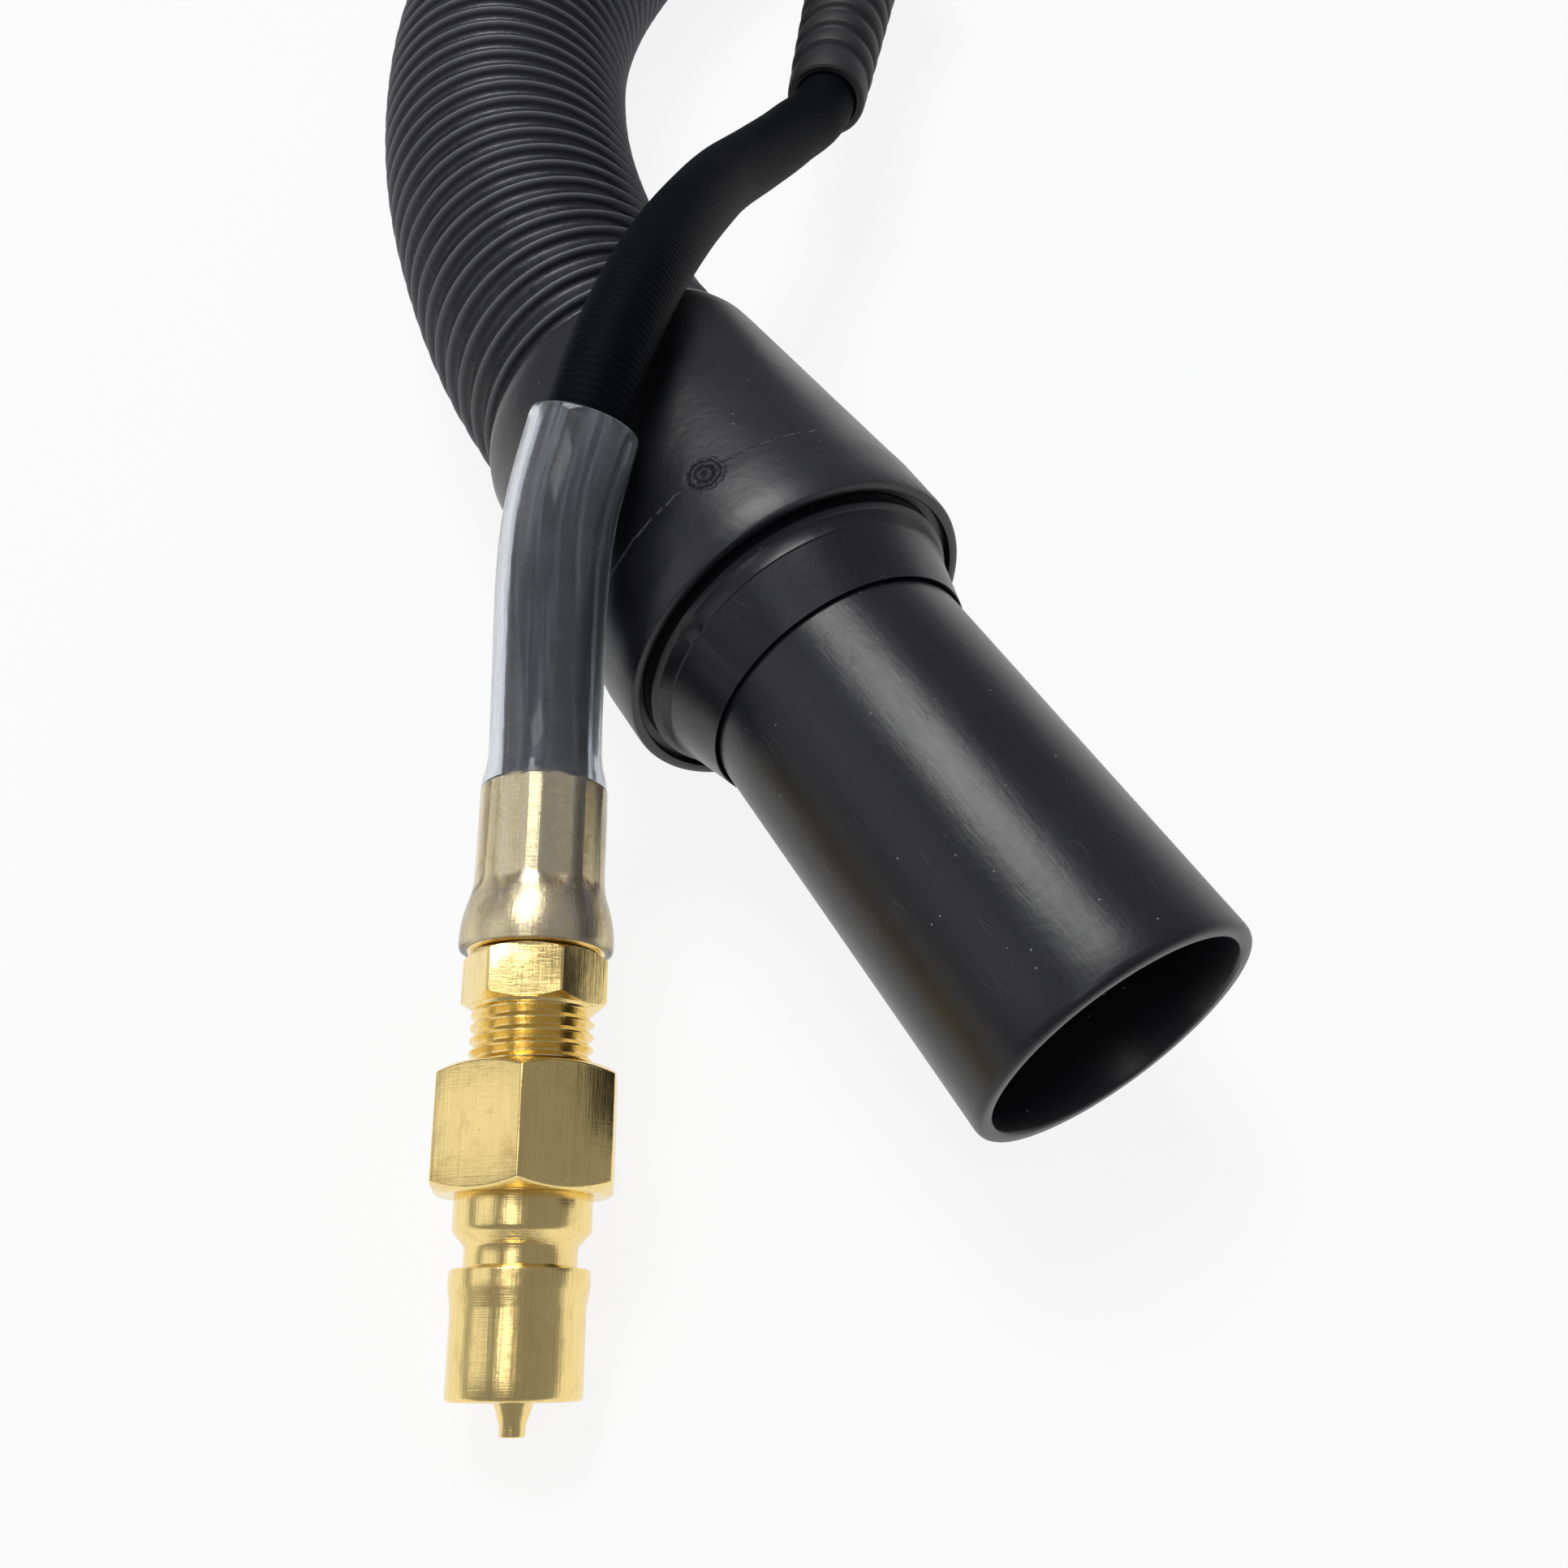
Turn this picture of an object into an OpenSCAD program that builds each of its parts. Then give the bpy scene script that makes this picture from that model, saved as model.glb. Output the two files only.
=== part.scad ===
// Vacuum hose set with an inner solution line, for a carpet and upholstery extractor: a swivel cuff and a
// brass quick-disconnect plug at the tool end, a tied coil of hose, and the machine end with its coupler.
// The origin is the middle of the swivel tube's mouth. +Y runs into the hose, +Z is up, and the set lies on
// the floor, which touches the bell of the cuff from below.

/* [Swivel cuff] */
// Inner diameter of the swivel tube
tube_bore = 32; // [24:0.5:34]
// Wall of the swivel tube at its mouth
tube_wall = 2; // [1.6:0.1:3]
// Draft of the swivel tube, off its radius at the ring
tube_draft = 0.5; // [0:0.1:1]
// Length of the swivel tube that stands out of the ring
tube_out = 55; // [40:1:80]
// Height of the bare pad raised on the swivel tube
pad_rise = 0.7; // [0.3:0.1:1]
// Length of that pad
pad_length = 18; // [8:1:25]
// Width of that pad
pad_width = 8; // [4:1:14]
// Length of the ring's bevel
bevel_length = 9; // [6:0.5:14]
// Width of the ring's bevel, measured outwards
bevel_width = 2.7; // [1:0.1:3.5]
// Length of the ring's skirt inside the bell
skirt_length = 3.5; // [2.5:0.5:8]
// Thickness of the flange that keeps the tube in the ring
flange_thick = 1.6; // [1:0.1:3]
// Thickness of the swivel's seal
seal_thick = 1.2; // [0.8:0.1:3]

/* [Bell] */
// Outer diameter of the bell at its lip
bell_d = 48; // [46:1:60]
// Wall of the bell at its lip
bell_wall = 1.4; // [1:0.1:2.2]
// Length of the bell's straight rim
rim_length = 8; // [4:1:20]
// Depth of the hose in the bell
hose_seat = 40; // [25:1:60]
// Thickness of the web that the hose stops against
web_thick = 1.5; // [1:0.1:4]

/* [Vacuum hose] */
// Outer diameter over the ribs
hose_d = 40; // [36:0.5:42]
// Depth of the grooves between the ribs
rib_depth = 1.4; // [0.6:0.1:2]
// Distance from one rib to the next
rib_pitch = 4.5; // [3.5:0.1:8]
// Bore of the hose
hose_bore = 33; // [24:0.5:34]
// Length of the whole set, from mouth to mouth
set_length = 3048; // [2900:1:3120]
// Diameter of the coil, between the middles of the hose
coil_d = 470; // [460:1:480]
// Gap between the coil's two layers
layer_gap = 2.2; // [2.2:0.1:4]
// Thickness of the hook-and-loop ties
strap_thick = 1.7; // [1:0.1:2.5]
// Width of the ties
strap_width = 25; // [15:1:40]

/* [Wyes and strain reliefs] */
// Outer diameter of a wye's body
wye_d = 43.6; // [43:0.1:44]
// Angle of the branch at the tool end
tool_branch_angle = 26; // [24:0.5:30]
// Angle of the branch at the machine end
machine_branch_angle = 55; // [50:1:60]
// Outer diameter of a branch
branch_d = 17; // [16:0.5:18]
// Length of the tool end's branch
tool_branch = 110.5; // [104:0.5:124]
// Length of the machine end's branch
machine_branch = 46; // [42:1:60]
// Length of a gland nut
nut_length = 16; // [12:1:22]
// Width of a gland nut across its flats
nut_flats = 22; // [21:0.5:26]
// Length of a strain relief outside its nut
boot_length = 58; // [30:1:60]
// Diameter of a strain relief at its tip
boot_tip_d = 13.2; // [12.4:0.1:16]

/* [Solution hose] */
// Outer diameter of the solution hose
line_d = 10; // [9:0.1:10.4]
// Bore of the solution hose
line_bore = 4.8; // [4.6:0.1:6]
// Length of the clear sleeve
sleeve_length = 62; // [40:1:90]
// Wall of the clear sleeve
sleeve_wall = 1.1; // [0.8:0.1:2]

/* [Brass plug] */
// Diameter of the plug's nose
nose_d = 14.2; // [13:0.1:14.4]
// Length of the nose up to its taper
nose_length = 9; // [6:0.5:12]
// Diameter of the locking groove
groove_d = 12; // [11:0.1:13]
// Diameter of the collar behind the locking groove
collar_d = 14.8; // [14.4:0.1:15]
// Width of the plug's hexagon across its flats
plug_flats = 19.05; // [17:0.05:22]
// Length of the plug's hexagon
plug_hex = 13.5; // [10:0.5:20]
// Diameter of the pipe thread
pipe_d = 13.7; // [12.8:0.1:14]
// Pitch of the pipe thread
pipe_pitch = 1.41; // [1:0.01:2]
// Length of the pipe thread that shows
pipe_shown = 6.9; // [3:0.1:9]
// Length of the pipe thread inside its socket
pipe_in = 10; // [6:0.5:11]
// Travel of each poppet
poppet_travel = 3; // [1:0.1:3.2]

/* [Hose stem and ferrule] */
// Width of the stem's hexagon across its flats
stem_flats = 14.29; // [12:0.01:17]
// Length of the stem's hexagon
stem_hex = 6.1; // [4:0.1:9]
// Diameter of the stem's bore
stem_bore = 3; // [2:0.1:3.2]
// Diameter of the ferrule's rolled front
ferrule_front_d = 16; // [15:0.1:18]
// Diameter of the crimped ferrule
crimp_d = 13; // [12.4:0.1:14]
// Distance across the crimp's eight flats
crimp_flats = 12.6; // [12.2:0.1:13]
// Length of the ferrule
ferrule_length = 20; // [16:0.1:24]

/* [Coupler] */
// Outer diameter of the coupler's body
coupler_d = 18; // [18:0.1:19]
// Outer diameter of the sliding sleeve
grip_d = 25; // [24.6:0.1:30]
// Length of the sliding sleeve
grip_length = 20.5; // [18:0.5:21]
// Travel of the sliding sleeve
grip_travel = 5; // [3:0.1:5.2]
// Diameter of a locking ball
ball_d = 3.2; // [2.8:0.1:3.4]
// Number of locking balls
ball_count = 8; // [5:1:10]
// Width of the adapter's hexagon across its flats
adapter_flats = 19.05; // [18:0.05:22]

/* [Clearances] */
// Radial gap of a turning fit
turn_gap = 0.2; // [0.1:0.05:0.3]
// Gap between pieces that are seated against each other
seat_gap = 0.1; // [0.05:0.05:0.15]
// Radial gap round a hose in its pocket
hose_gap = 0.3; // [0.1:0.05:0.5]
// Gap between the ring's edge and the bell's lip
rim_gap = 1; // [0.5:0.1:1.5]

/* [Hidden] */
$fn = 72;
eps = 0.01;
black = "#1d1d1e";
brass = "#b98a3e";
steel = "#b9bcbf";
clear = "#c9d6e0";
rubber = "#2a2a2c";

// Swivel cuff, measured along its axis from the mouth
tube_r = tube_bore / 2 + tube_wall;
shank_r = tube_r - tube_draft;
ring_r = shank_r + turn_gap;
bevel_r = ring_r + 0.3 + bevel_width;
bell_r = bell_d / 2;
lip_r = bell_r - bell_wall;
skirt_r = lip_r - rim_gap - seat_gap;
ring_front = tube_out;
bevel_back = ring_front + bevel_length;
bell_front = bevel_back + 1;
ring_back = bevel_back + skirt_length;
flange_back = ring_back + turn_gap + flange_thick;
seal_front = flange_back + turn_gap;
web_front = seal_front + seal_thick + seat_gap;
web_back = web_front + web_thick;
hose_front = web_back + seat_gap;
bell_back = hose_front + hose_seat;
web_hole_r = tube_bore / 2 + turn_gap;
pocket_r = hose_d / 2 + hose_gap;
bell_neck_r = pocket_r + 0.9;

// Floor and hose
floor_z = -bell_r;
hose_r = hose_d / 2;
line_r = line_d / 2;
coil_z = floor_z + strap_thick + hose_gap + hose_r;
layer_step = hose_d + layer_gap;

// Wyes: what the hose and the coil go into, and the branch for the solution line
wye_r = wye_d / 2;
wye_seat = 20;
coil_seat = 20;
wye_outer = 22;
wye_bore_r = hose_bore / 2;
branch_r = branch_d / 2;
line_hole_r = line_r + hose_gap;
wye_inner = (pocket_r + 0.6 + line_hole_r / cos(tool_branch_angle)) / tan(tool_branch_angle);
nut_wall = 6;
shank_back = nut_wall + 2;

// Route of the vacuum hose from the bell to the tool end's wye
run_heading = 65;
run_end = [128, 280, coil_z];
run_points = [
    [0, hose_front, 0], [0, 92, 0], [0, 112, 0], [1, 132, -0.5], [4.5, 151.5, -1], [10, 171, -1.5],
    [17.5, 189.5, -2], [27, 207, -2], [39, 223, -2], [53.5, 237.5, -2], [71.5, 251.5, -2],
    step(run_end, run_heading, -40), step(run_end, run_heading, -20), run_end
];
run_path = spline(run_points, 8);
run_length = path_length(run_path);
tool_wye_at = step(run_end, run_heading, wye_inner);

// Coil: layer one on the floor, a climb just before the first turn closes, then layer two
coil_radius = coil_d / 2;
coil_in = wye_outer + hose_d;
coil_entry = step(tool_wye_at, run_heading, coil_in);
coil_middle = coil_entry + coil_radius * [-cos(run_heading), sin(run_heading), 0];
wye_to_mouth = 125;
machine_end = wye_outer + hose_d + wye_to_mouth;
arc_length = set_length - hose_front - run_length - wye_inner - coil_in - machine_end;
coil_turn = arc_length / coil_radius * 180 / PI;
climb_start = coil_turn - 332;
climb_end = 352;
machine_heading = run_heading - coil_turn;
machine_arc_end = coil_point(coil_turn);
machine_wye_at = step(machine_arc_end, machine_heading, wye_outer + hose_d);
machine_mouth = step(machine_wye_at, machine_heading, wye_to_mouth);
ring_step = 15;
coil_path = concat(
    [step(tool_wye_at, run_heading, wye_outer + seat_gap), step(coil_entry, run_heading, -hose_r)],
    [for (turn = [0 : ring_step : coil_turn - ring_step / 2]) coil_point(turn)],
    [coil_point(coil_turn)],
    [step(machine_arc_end, machine_heading, hose_r), step(machine_wye_at, machine_heading, -wye_outer - seat_gap)]
);
tie_turns = [2.5, 7.5, 13.5] * ring_step;

// Brass plug, measured along its axis from the front of the nose, where it lies on the floor
plug_heading = 30.6;
plug_rise = 15;
nose_r = nose_d / 2;
plug_at = [-71.05, 4.5, floor_z + nose_r * cos(plug_rise)];
taper_r = nose_r + 0.35;
groove_front = nose_length + 4;
groove_back = groove_front + 2.35;
collar_r = collar_d / 2;
hex_front = groove_back + 5.15;
hex_back = hex_front + plug_hex;
hex_roll = 4.6;
front_wall = 1.5;
tip_hole_r = 2.5;
chamber_r = 4.4;
socket_front = hex_back - pipe_in - 5;
pipe_r = pipe_d / 2;
pipe_hole_r = pipe_r + seat_gap;
stem_at = hex_back + pipe_shown;

// Valve parts, the same in the plug and the coupler, measured from the wall that each closes
valve_head_r = chamber_r - 0.4;
valve_seal = 1;
valve_head = 1.5;
valve_head_back = seat_gap + valve_seal + seat_gap + valve_head;
valve_tip = 3.4;
spring_least = 6.8;
retainer_front = valve_head_back + spring_least + poppet_travel;
retainer_thick = 2;
guide_r = 1.5;
guide_back = retainer_front + retainer_thick + 0.6;
spring_wire = 0.7;
spring_r = 3;

// Hose stem and ferrule, measured from the thread side of the stem's hexagon
ferrule_front = stem_hex + seat_gap;
ferrule_neck = ferrule_front + 7.4;
ferrule_back = ferrule_front + ferrule_length;
line_front = ferrule_front + 1.3;
spigot_r = line_bore / 2 - 0.4;
spigot_length = 15;
ferrule_hole_r = line_r + 0.2;
sleeve_front_r = ferrule_front_d / 2 + seat_gap;
sleeve_crimp_r = crimp_d / 2 + seat_gap;
sleeve_in_r = line_r + 0.5;
sleeve_r = sleeve_in_r + sleeve_wall;

// Route of the solution line from the ferrule to the tip of the tool end's strain relief, and inside the wye
tool_reach = tool_branch + nut_wall + boot_length + 5;
machine_reach = machine_branch + nut_wall + boot_length + 5;
tool_branch_roll = 2;
tool_side = [cos(run_heading), -sin(run_heading), 0] * cos(tool_branch_roll) + [0, 0, sin(tool_branch_roll)];
tool_back = step([0, 0, 0], run_heading, -1);
tool_branch_dir = tool_back * cos(tool_branch_angle) + tool_side * sin(tool_branch_angle);
line_points = concat(
    [plug_point(stem_at + line_front), plug_point(stem_at + 16.8), plug_point(stem_at + ferrule_back)],
    [
        [-32.2, 69.7, 6.4], [-25, 79.2, 17.7], [-17.9, 85.8, 24.3], [-9.5, 93.8, 28.3], [0, 103.1, 28.8],
        [9.9, 113.8, 25.4], [19.6, 124.6, 20.3], [29, 134.8, 14.8], [40, 144.5, 9], [52, 154, 4]
    ],
    [for (s = [0, 28, 56, 84, 112, 140]) tool_wye_at + tool_branch_dir * (tool_reach - s)],
    [
        tool_wye_at + tool_branch_dir * 11,
        step(tool_wye_at, run_heading, 11),
        step(tool_wye_at, run_heading, wye_outer - 1)
    ]
);
line_path = even_path(spline(line_points, 8), line_d);
sleeve_points = spline(line_points, 8);

// Machine end's supply line, in its own frame: at the wye, y towards the mouth and x to the outer side
machine_dir = [sin(machine_branch_angle), cos(machine_branch_angle), 0];
machine_z = machine_wye_at.z;
coupler_z = floor_z + grip_d / 2 + 0.05;
supply_end = [88, 279, coupler_z];
supply_heading = -15;
supply_points = concat(
    [
        let (lead = wye_outer - 1, r = lead / tan(machine_branch_angle / 2))
            for (k = [0 : 3])
                let (turn = machine_branch_angle * k / 3) [r * (1 - cos(turn)), r * sin(turn) - lead, machine_z]
    ],
    [for (s = [45, 68, 91, machine_reach]) machine_dir * s + [0, 0, machine_z]],
    [
        [106.5, 76, machine_z], [117.5, 90, machine_z], [124.5, 106.5, machine_z], [127, 124.5, machine_z],
        [125, 142, 40], [120.5, 159.5, 35.5], [116, 177, 27], [111, 194.5, 17], [106.5, 211.5, 6],
        [102, 229, -4], [97.7, 244, -10], step(supply_end, supply_heading, -21), supply_end
    ]
);
supply_path = even_path(spline(supply_points, 8), line_d);

// Coupler, measured along its axis from its mouth
coupler_r = coupler_d / 2;
ball_r = ball_d / 2;
ball_at = 7.8;
mouth_r = collar_r + 0.2;
entry_r = mouth_r + 0.3;
nose_hole_r = nose_r + 0.1;
entry_depth = ball_at - ball_r - 0.7;
mouth_depth = 11.5;
nose_depth = 22.5;
valve_wall = nose_depth + 1.5;
land_r = coupler_r + 0.25;
land_front = 5.5;
land_back = 11;
relief_r = 10.9;
snap_thick = 1;
grip_front = 1;
grip_back = grip_front + grip_length;
stop_front = grip_back + grip_travel + 0.5;
stop_back = stop_front + 3;
spigot_back = valve_wall + retainer_front + retainer_thick + seat_gap;
adapter_front = stop_back + seat_gap;
adapter_socket = spigot_back + poppet_travel;
adapter_back = adapter_socket + pipe_in + 1;
coupler_stem_at = adapter_back + pipe_shown;
coupler_chamber_r = 5;
o_ring_r = 0.75;
coupler_length = coupler_stem_at + line_front;
coupler_heading = supply_heading + 180;
coupler_at = step(supply_end, supply_heading, coupler_length);

// A point moved over the floor by a length along a heading, counted clockwise from +Y
function step(p, heading, length) = p + length * [sin(heading), cos(heading), 0];
function unit(v) = v / norm(v);
function smooth(t) = let (c = max(0, min(1, t))) c * c * (3 - 2 * c);

// Axis of the coil after a turn of so many degrees
function coil_point(turn) =
    let (height = layer_step * smooth((turn - climb_start) / (climb_end - climb_start)))
    coil_middle + coil_radius * [cos(turn - run_heading), sin(turn - run_heading), 0] + [0, 0, height];

// A point on the plug's axis
function plug_point(s) =
    plug_at + s * [sin(plug_heading) * cos(plug_rise), cos(plug_heading) * cos(plug_rise), sin(plug_rise)];

// Smooth curve through points, with so many steps between two of them
function curve_point(a, b, c, d, t) =
    0.5 * (2 * b + (c - a) * t + (2 * a - 5 * b + 4 * c - d) * t * t + (3 * b - a - 3 * c + d) * t * t * t);
function spline(p, steps) =
    let (last = len(p) - 1, q = concat([2 * p[0] - p[1]], p, [2 * p[last] - p[last - 1]]))
    concat(
        [for (i = [0 : last - 1], k = [0 : steps - 1]) curve_point(q[i], q[i + 1], q[i + 2], q[i + 3], k / steps)],
        [p[last]]
    );
function lengths(p) = [for (i = 0, s = 0; i < len(p); s = s + norm(p[min(i + 1, len(p) - 1)] - p[i]), i = i + 1) s];
function path_length(p) = lengths(p)[len(p) - 1];
function even_points(p, from, to, count) =
    let (s = lengths(p), tables = [for (axis = [0 : 2]) [for (i = [0 : len(p) - 1]) [s[i], p[i][axis]]]])
    [for (k = [0 : count]) [for (axis = [0 : 2]) lookup(from + (to - from) * k / count, tables[axis])]];
function even_path(p, spacing) = even_points(p, 0, path_length(p), ceil(path_length(p) / spacing));

// Rings of points round a path
function path_direction(p, i) = unit(p[min(i + 1, len(p) - 1)] - p[max(i - 1, 0)]);
function ring_points(p, i, r, sides) =
    let (ahead = path_direction(p, i), side = unit(cross(ahead, [0, 0, 1])), up = cross(side, ahead))
    [for (k = [0 : sides - 1]) p[i] + r * (cos(360 * k / sides) * side + sin(360 * k / sides) * up)];
function rings(p, r, sides) = [for (i = [0 : len(p) - 1]) each ring_points(p, i, r[i % len(r)], sides)];
function wall_faces(first, count, sides) = [
    for (i = [0 : count - 2], k = [0 : sides - 1])
        let (a = first + i * sides + k, b = first + i * sides + (k + 1) % sides)
        each [[a, b, b + sides], [a, b + sides, a + sides]]
];
function turned(faces) = [for (f = faces) [f[2], f[1], f[0]]];
function start_cap(first, sides) = [for (k = [1 : sides - 2]) [first, first + k + 1, first + k]];
function rim_faces(outer, inner, sides) = [
    for (k = [0 : sides - 1])
        let (n = (k + 1) % sides)
        each [[outer + n, outer + k, inner + k], [outer + n, inner + k, inner + n]]
];

// Least distance between stretches of a path that are more than apart steps from each other
function least_gap(p, apart, diameter) =
    min([for (i = [0 : len(p) - 1 - apart], j = [i + apart : len(p) - 1]) norm(p[i] - p[j])]) - diameter;

// A solid round bar along a path
module bar(path, r, sides) {
    last = (len(path) - 1) * sides;
    faces = concat(wall_faces(0, len(path), sides), start_cap(0, sides), turned(start_cap(last, sides)));
    polyhedron(rings(path, [r], sides), faces, convexity = 10);
}

// A pipe along a path: its outer rings take their radii in turn, and its bore follows a coarser path
module pipe(path, radii, bore_path, bore_r, sides) {
    outer = rings(path, radii, sides);
    inner = rings(bore_path, [bore_r], sides);
    start = len(outer);
    last = start - sides;
    inner_last = start + len(inner) - sides;
    faces = concat(
        wall_faces(0, len(path), sides),
        turned(wall_faces(start, len(bore_path), sides)),
        rim_faces(0, start, sides),
        turned(rim_faces(last, inner_last, sides))
    );
    polyhedron(concat(outer, inner), faces, convexity = 10);
}

// A coil spring standing on z = 0
module spring(length, mean_r, wire, curls) {
    count = curls * 12;
    path = [
        for (i = [0 : count])
            [mean_r * cos(30 * i), mean_r * sin(30 * i), wire / 2 + (length - wire) * i / count]
    ];
    echo(spring_gap = least_gap(path, 9, wire));
    bar(path, wire / 2, 6);
}

// Moves a piece so that its +Z points along a heading over the floor, lifted by a rise
module lay(at, heading, rise = 0) {
    translate(at) rotate([0, 0, -heading]) rotate([rise - 90, 0, 0]) children();
}
module at_plug() {
    lay(plug_at, plug_heading, plug_rise) children();
}
module at_tool_wye() {
    lay(tool_wye_at, run_heading + 180) rotate([0, 0, 180 + tool_branch_roll]) children();
}
module at_machine() {
    lay(machine_mouth, machine_heading + 180) children();
}
module in_machine_frame() {
    translate([machine_wye_at.x, machine_wye_at.y, 0]) rotate([0, 0, -machine_heading]) children();
}
module at_coupler() {
    in_machine_frame() lay(coupler_at, coupler_heading) children();
}

// Basic shapes
module turned_shape(points) {
    rotate_extrude() polygon(points);
}
module hexagon(flats, length, chamfer) {
    r = flats / 2 / cos(30);
    intersection() {
        cylinder(h = length, r = r, $fn = 6);
        turned_shape([
            [0, 0], [r - chamfer * 1.7, 0], [r, chamfer], [r, length - chamfer],
            [r - chamfer * 1.7, length], [0, length]
        ]);
    }
}
module tube_shape(r_out, r_in, from, to) {
    turned_shape([[r_in, from], [r_out, from], [r_out, to], [r_in, to]]);
}

// Swivel cuff pieces, used at both ends
module swivel_tube_shape() {
    lip = 0.8;
    turned_shape([
        [tube_bore / 2, 0], [tube_r - lip, 0], [tube_r - 0.24, 0.24], [tube_r, lip],
        [shank_r, ring_front], [shank_r, ring_back + turn_gap],
        [skirt_r - 0.9, ring_back + turn_gap], [skirt_r - 0.9, flange_back],
        [tube_bore / 2, flange_back]
    ]);
    difference() {
        intersection() {
            translate([0, 0, 30]) cylinder(r = tube_r - tube_draft / 2 + pad_rise, h = pad_length);
            rotate([0, 0, 22]) translate([0, -pad_width / 2, 30]) cube([tube_r + 2, pad_width, pad_length]);
        }
        translate([0, 0, 29]) cylinder(r = tube_bore / 2 + 1, h = pad_length + 2);
    }
}
module cuff_ring_shape() {
    turned_shape([
        [ring_r, ring_front], [ring_r + 0.3, ring_front], [bevel_r, bevel_back], [skirt_r, bevel_back + 0.4],
        [skirt_r, ring_back], [ring_r, ring_back]
    ]);
}
module swivel_seal_shape() {
    tube_shape(skirt_r - 0.1, shank_r + 0.1, seal_front, seal_front + seal_thick);
}
module bell_cavity() {
    step_at = bell_front + 1.5;
    translate([0, 0, bell_front - 1]) cylinder(r = lip_r, h = step_at - bell_front + 1);
    translate([0, 0, step_at - eps]) cylinder(r = skirt_r + seat_gap, h = web_front - step_at + eps);
    translate([0, 0, web_front - 1]) cylinder(r = web_hole_r, h = web_thick + 2);
}
module cuff_bell_shape() {
    difference() {
        turned_shape([
            [0, bell_front], [bell_r - 0.4, bell_front], [bell_r, bell_front + 0.4],
            [bell_r, bell_front + rim_length], [bell_neck_r + 0.8, bell_back - 4],
            [bell_neck_r + 0.5, bell_back - 1.2], [bell_neck_r, bell_back - 0.3],
            [bell_neck_r - 0.4, bell_back], [0, bell_back]
        ]);
        bell_cavity();
        translate([0, 0, web_back]) cylinder(r = pocket_r, h = hose_seat + 2);
    }
}

// Branch of a wye: its tube, and the strengthening web between it and the body
module branch_tube(angle, length) {
    rotate([0, angle, 0]) cylinder(r = branch_r, h = length);
    rotate([90, 0, 0])
        linear_extrude(height = 5, center = true)
            polygon([
                [0, 0], [0, wye_r * 2.2],
                [wye_r - 1, min(wye_r / tan(angle) + 24, length * cos(angle) - 8)],
                [(length - 20) * sin(angle), (length - 20) * cos(angle)]
            ]);
}
module branch_bore(angle, length) {
    flare = wye_bore_r / abs(sin(angle)) + 4;
    rotate([0, angle, 0])
        translate([0, 0, 4]) {
            cylinder(r = line_hole_r, h = length);
            cylinder(r1 = line_hole_r + 2.5, r2 = line_hole_r, h = flare);
        }
}
module gland_nut_shape(length) {
    difference() {
        translate([0, 0, length - nut_length + nut_wall]) hexagon(nut_flats, nut_length, 1);
        translate([0, 0, length - nut_length]) cylinder(r = branch_r + seat_gap, h = nut_length + seat_gap);
        cylinder(r = line_hole_r + 2 + seat_gap, h = length + nut_wall + 1);
    }
}
module boot_shape(length) {
    base = length + 2 * seat_gap;
    start = length + nut_wall + seat_gap;
    tip = start + 5 + boot_length - seat_gap;
    ribs = 9;
    rib_step = (tip - start - 12) / ribs;
    base_r = line_hole_r + 3.8;
    function taper(z) = base_r + (boot_tip_d / 2 - base_r) * (z - start) / (tip - start);
    difference() {
        union() {
            translate([0, 0, base]) cylinder(r = line_hole_r + 2, h = start - base + 1);
            turned_shape(concat(
                [[0, start], [base_r + 0.6, start], [base_r + 0.6, start + 5]],
                [
                    for (k = [0 : ribs - 1])
                        let (z = start + 6 + k * rib_step)
                        each [
                            [taper(z) - 0.9, z], [taper(z), z + 0.6],
                            [taper(z), z + rib_step * 0.62], [taper(z) - 0.9, z + rib_step * 0.75]
                        ]
                ],
                [[taper(tip - 5), tip - 5], [boot_tip_d / 2, tip - 1], [boot_tip_d / 2 - 0.6, tip], [0, tip]]
            ));
        }
        translate([0, 0, length]) cylinder(r = line_hole_r, h = tip - length + 1);
    }
}

// A pipe thread as grooves, on a core that goes from z = from to z = to
module pipe_thread(from, to, end_chamfer) {
    depth = 0.75;
    turns = floor((to - from - end_chamfer) / pipe_pitch);
    turned_shape(concat(
        [[0, from], [pipe_r - end_chamfer, from]],
        [
            for (k = [0 : turns - 1])
                let (z = from + end_chamfer + k * pipe_pitch)
                each [
                    [pipe_r - depth, z + 0.1], [pipe_r, z + pipe_pitch * 0.45],
                    [pipe_r, z + pipe_pitch * 0.6], [pipe_r - depth, z + pipe_pitch - 0.1]
                ]
        ],
        [[pipe_r - depth, to], [0, to]]
    ));
}
module hose_stem_shape() {
    difference() {
        union() {
            pipe_thread(-pipe_shown - pipe_in, 0, 1);
            hexagon(stem_flats, stem_hex, 0.7);
            turned_shape(concat(
                [[0, stem_hex], [spigot_r, stem_hex]],
                [
                    for (k = [0 : 3])
                        let (z = line_front + 1 + k * 3.2)
                        each [[spigot_r - 0.2, z], [spigot_r + 0.2, z], [spigot_r - 0.2, z + 2.6]]
                ],
                [[spigot_r - 0.4, line_front + spigot_length], [0, line_front + spigot_length]]
            ));
        }
        translate([0, 0, -pipe_shown - pipe_in - 1])
            cylinder(r = stem_bore / 2, h = pipe_shown + pipe_in + line_front + spigot_length + 2);
    }
}
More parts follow.
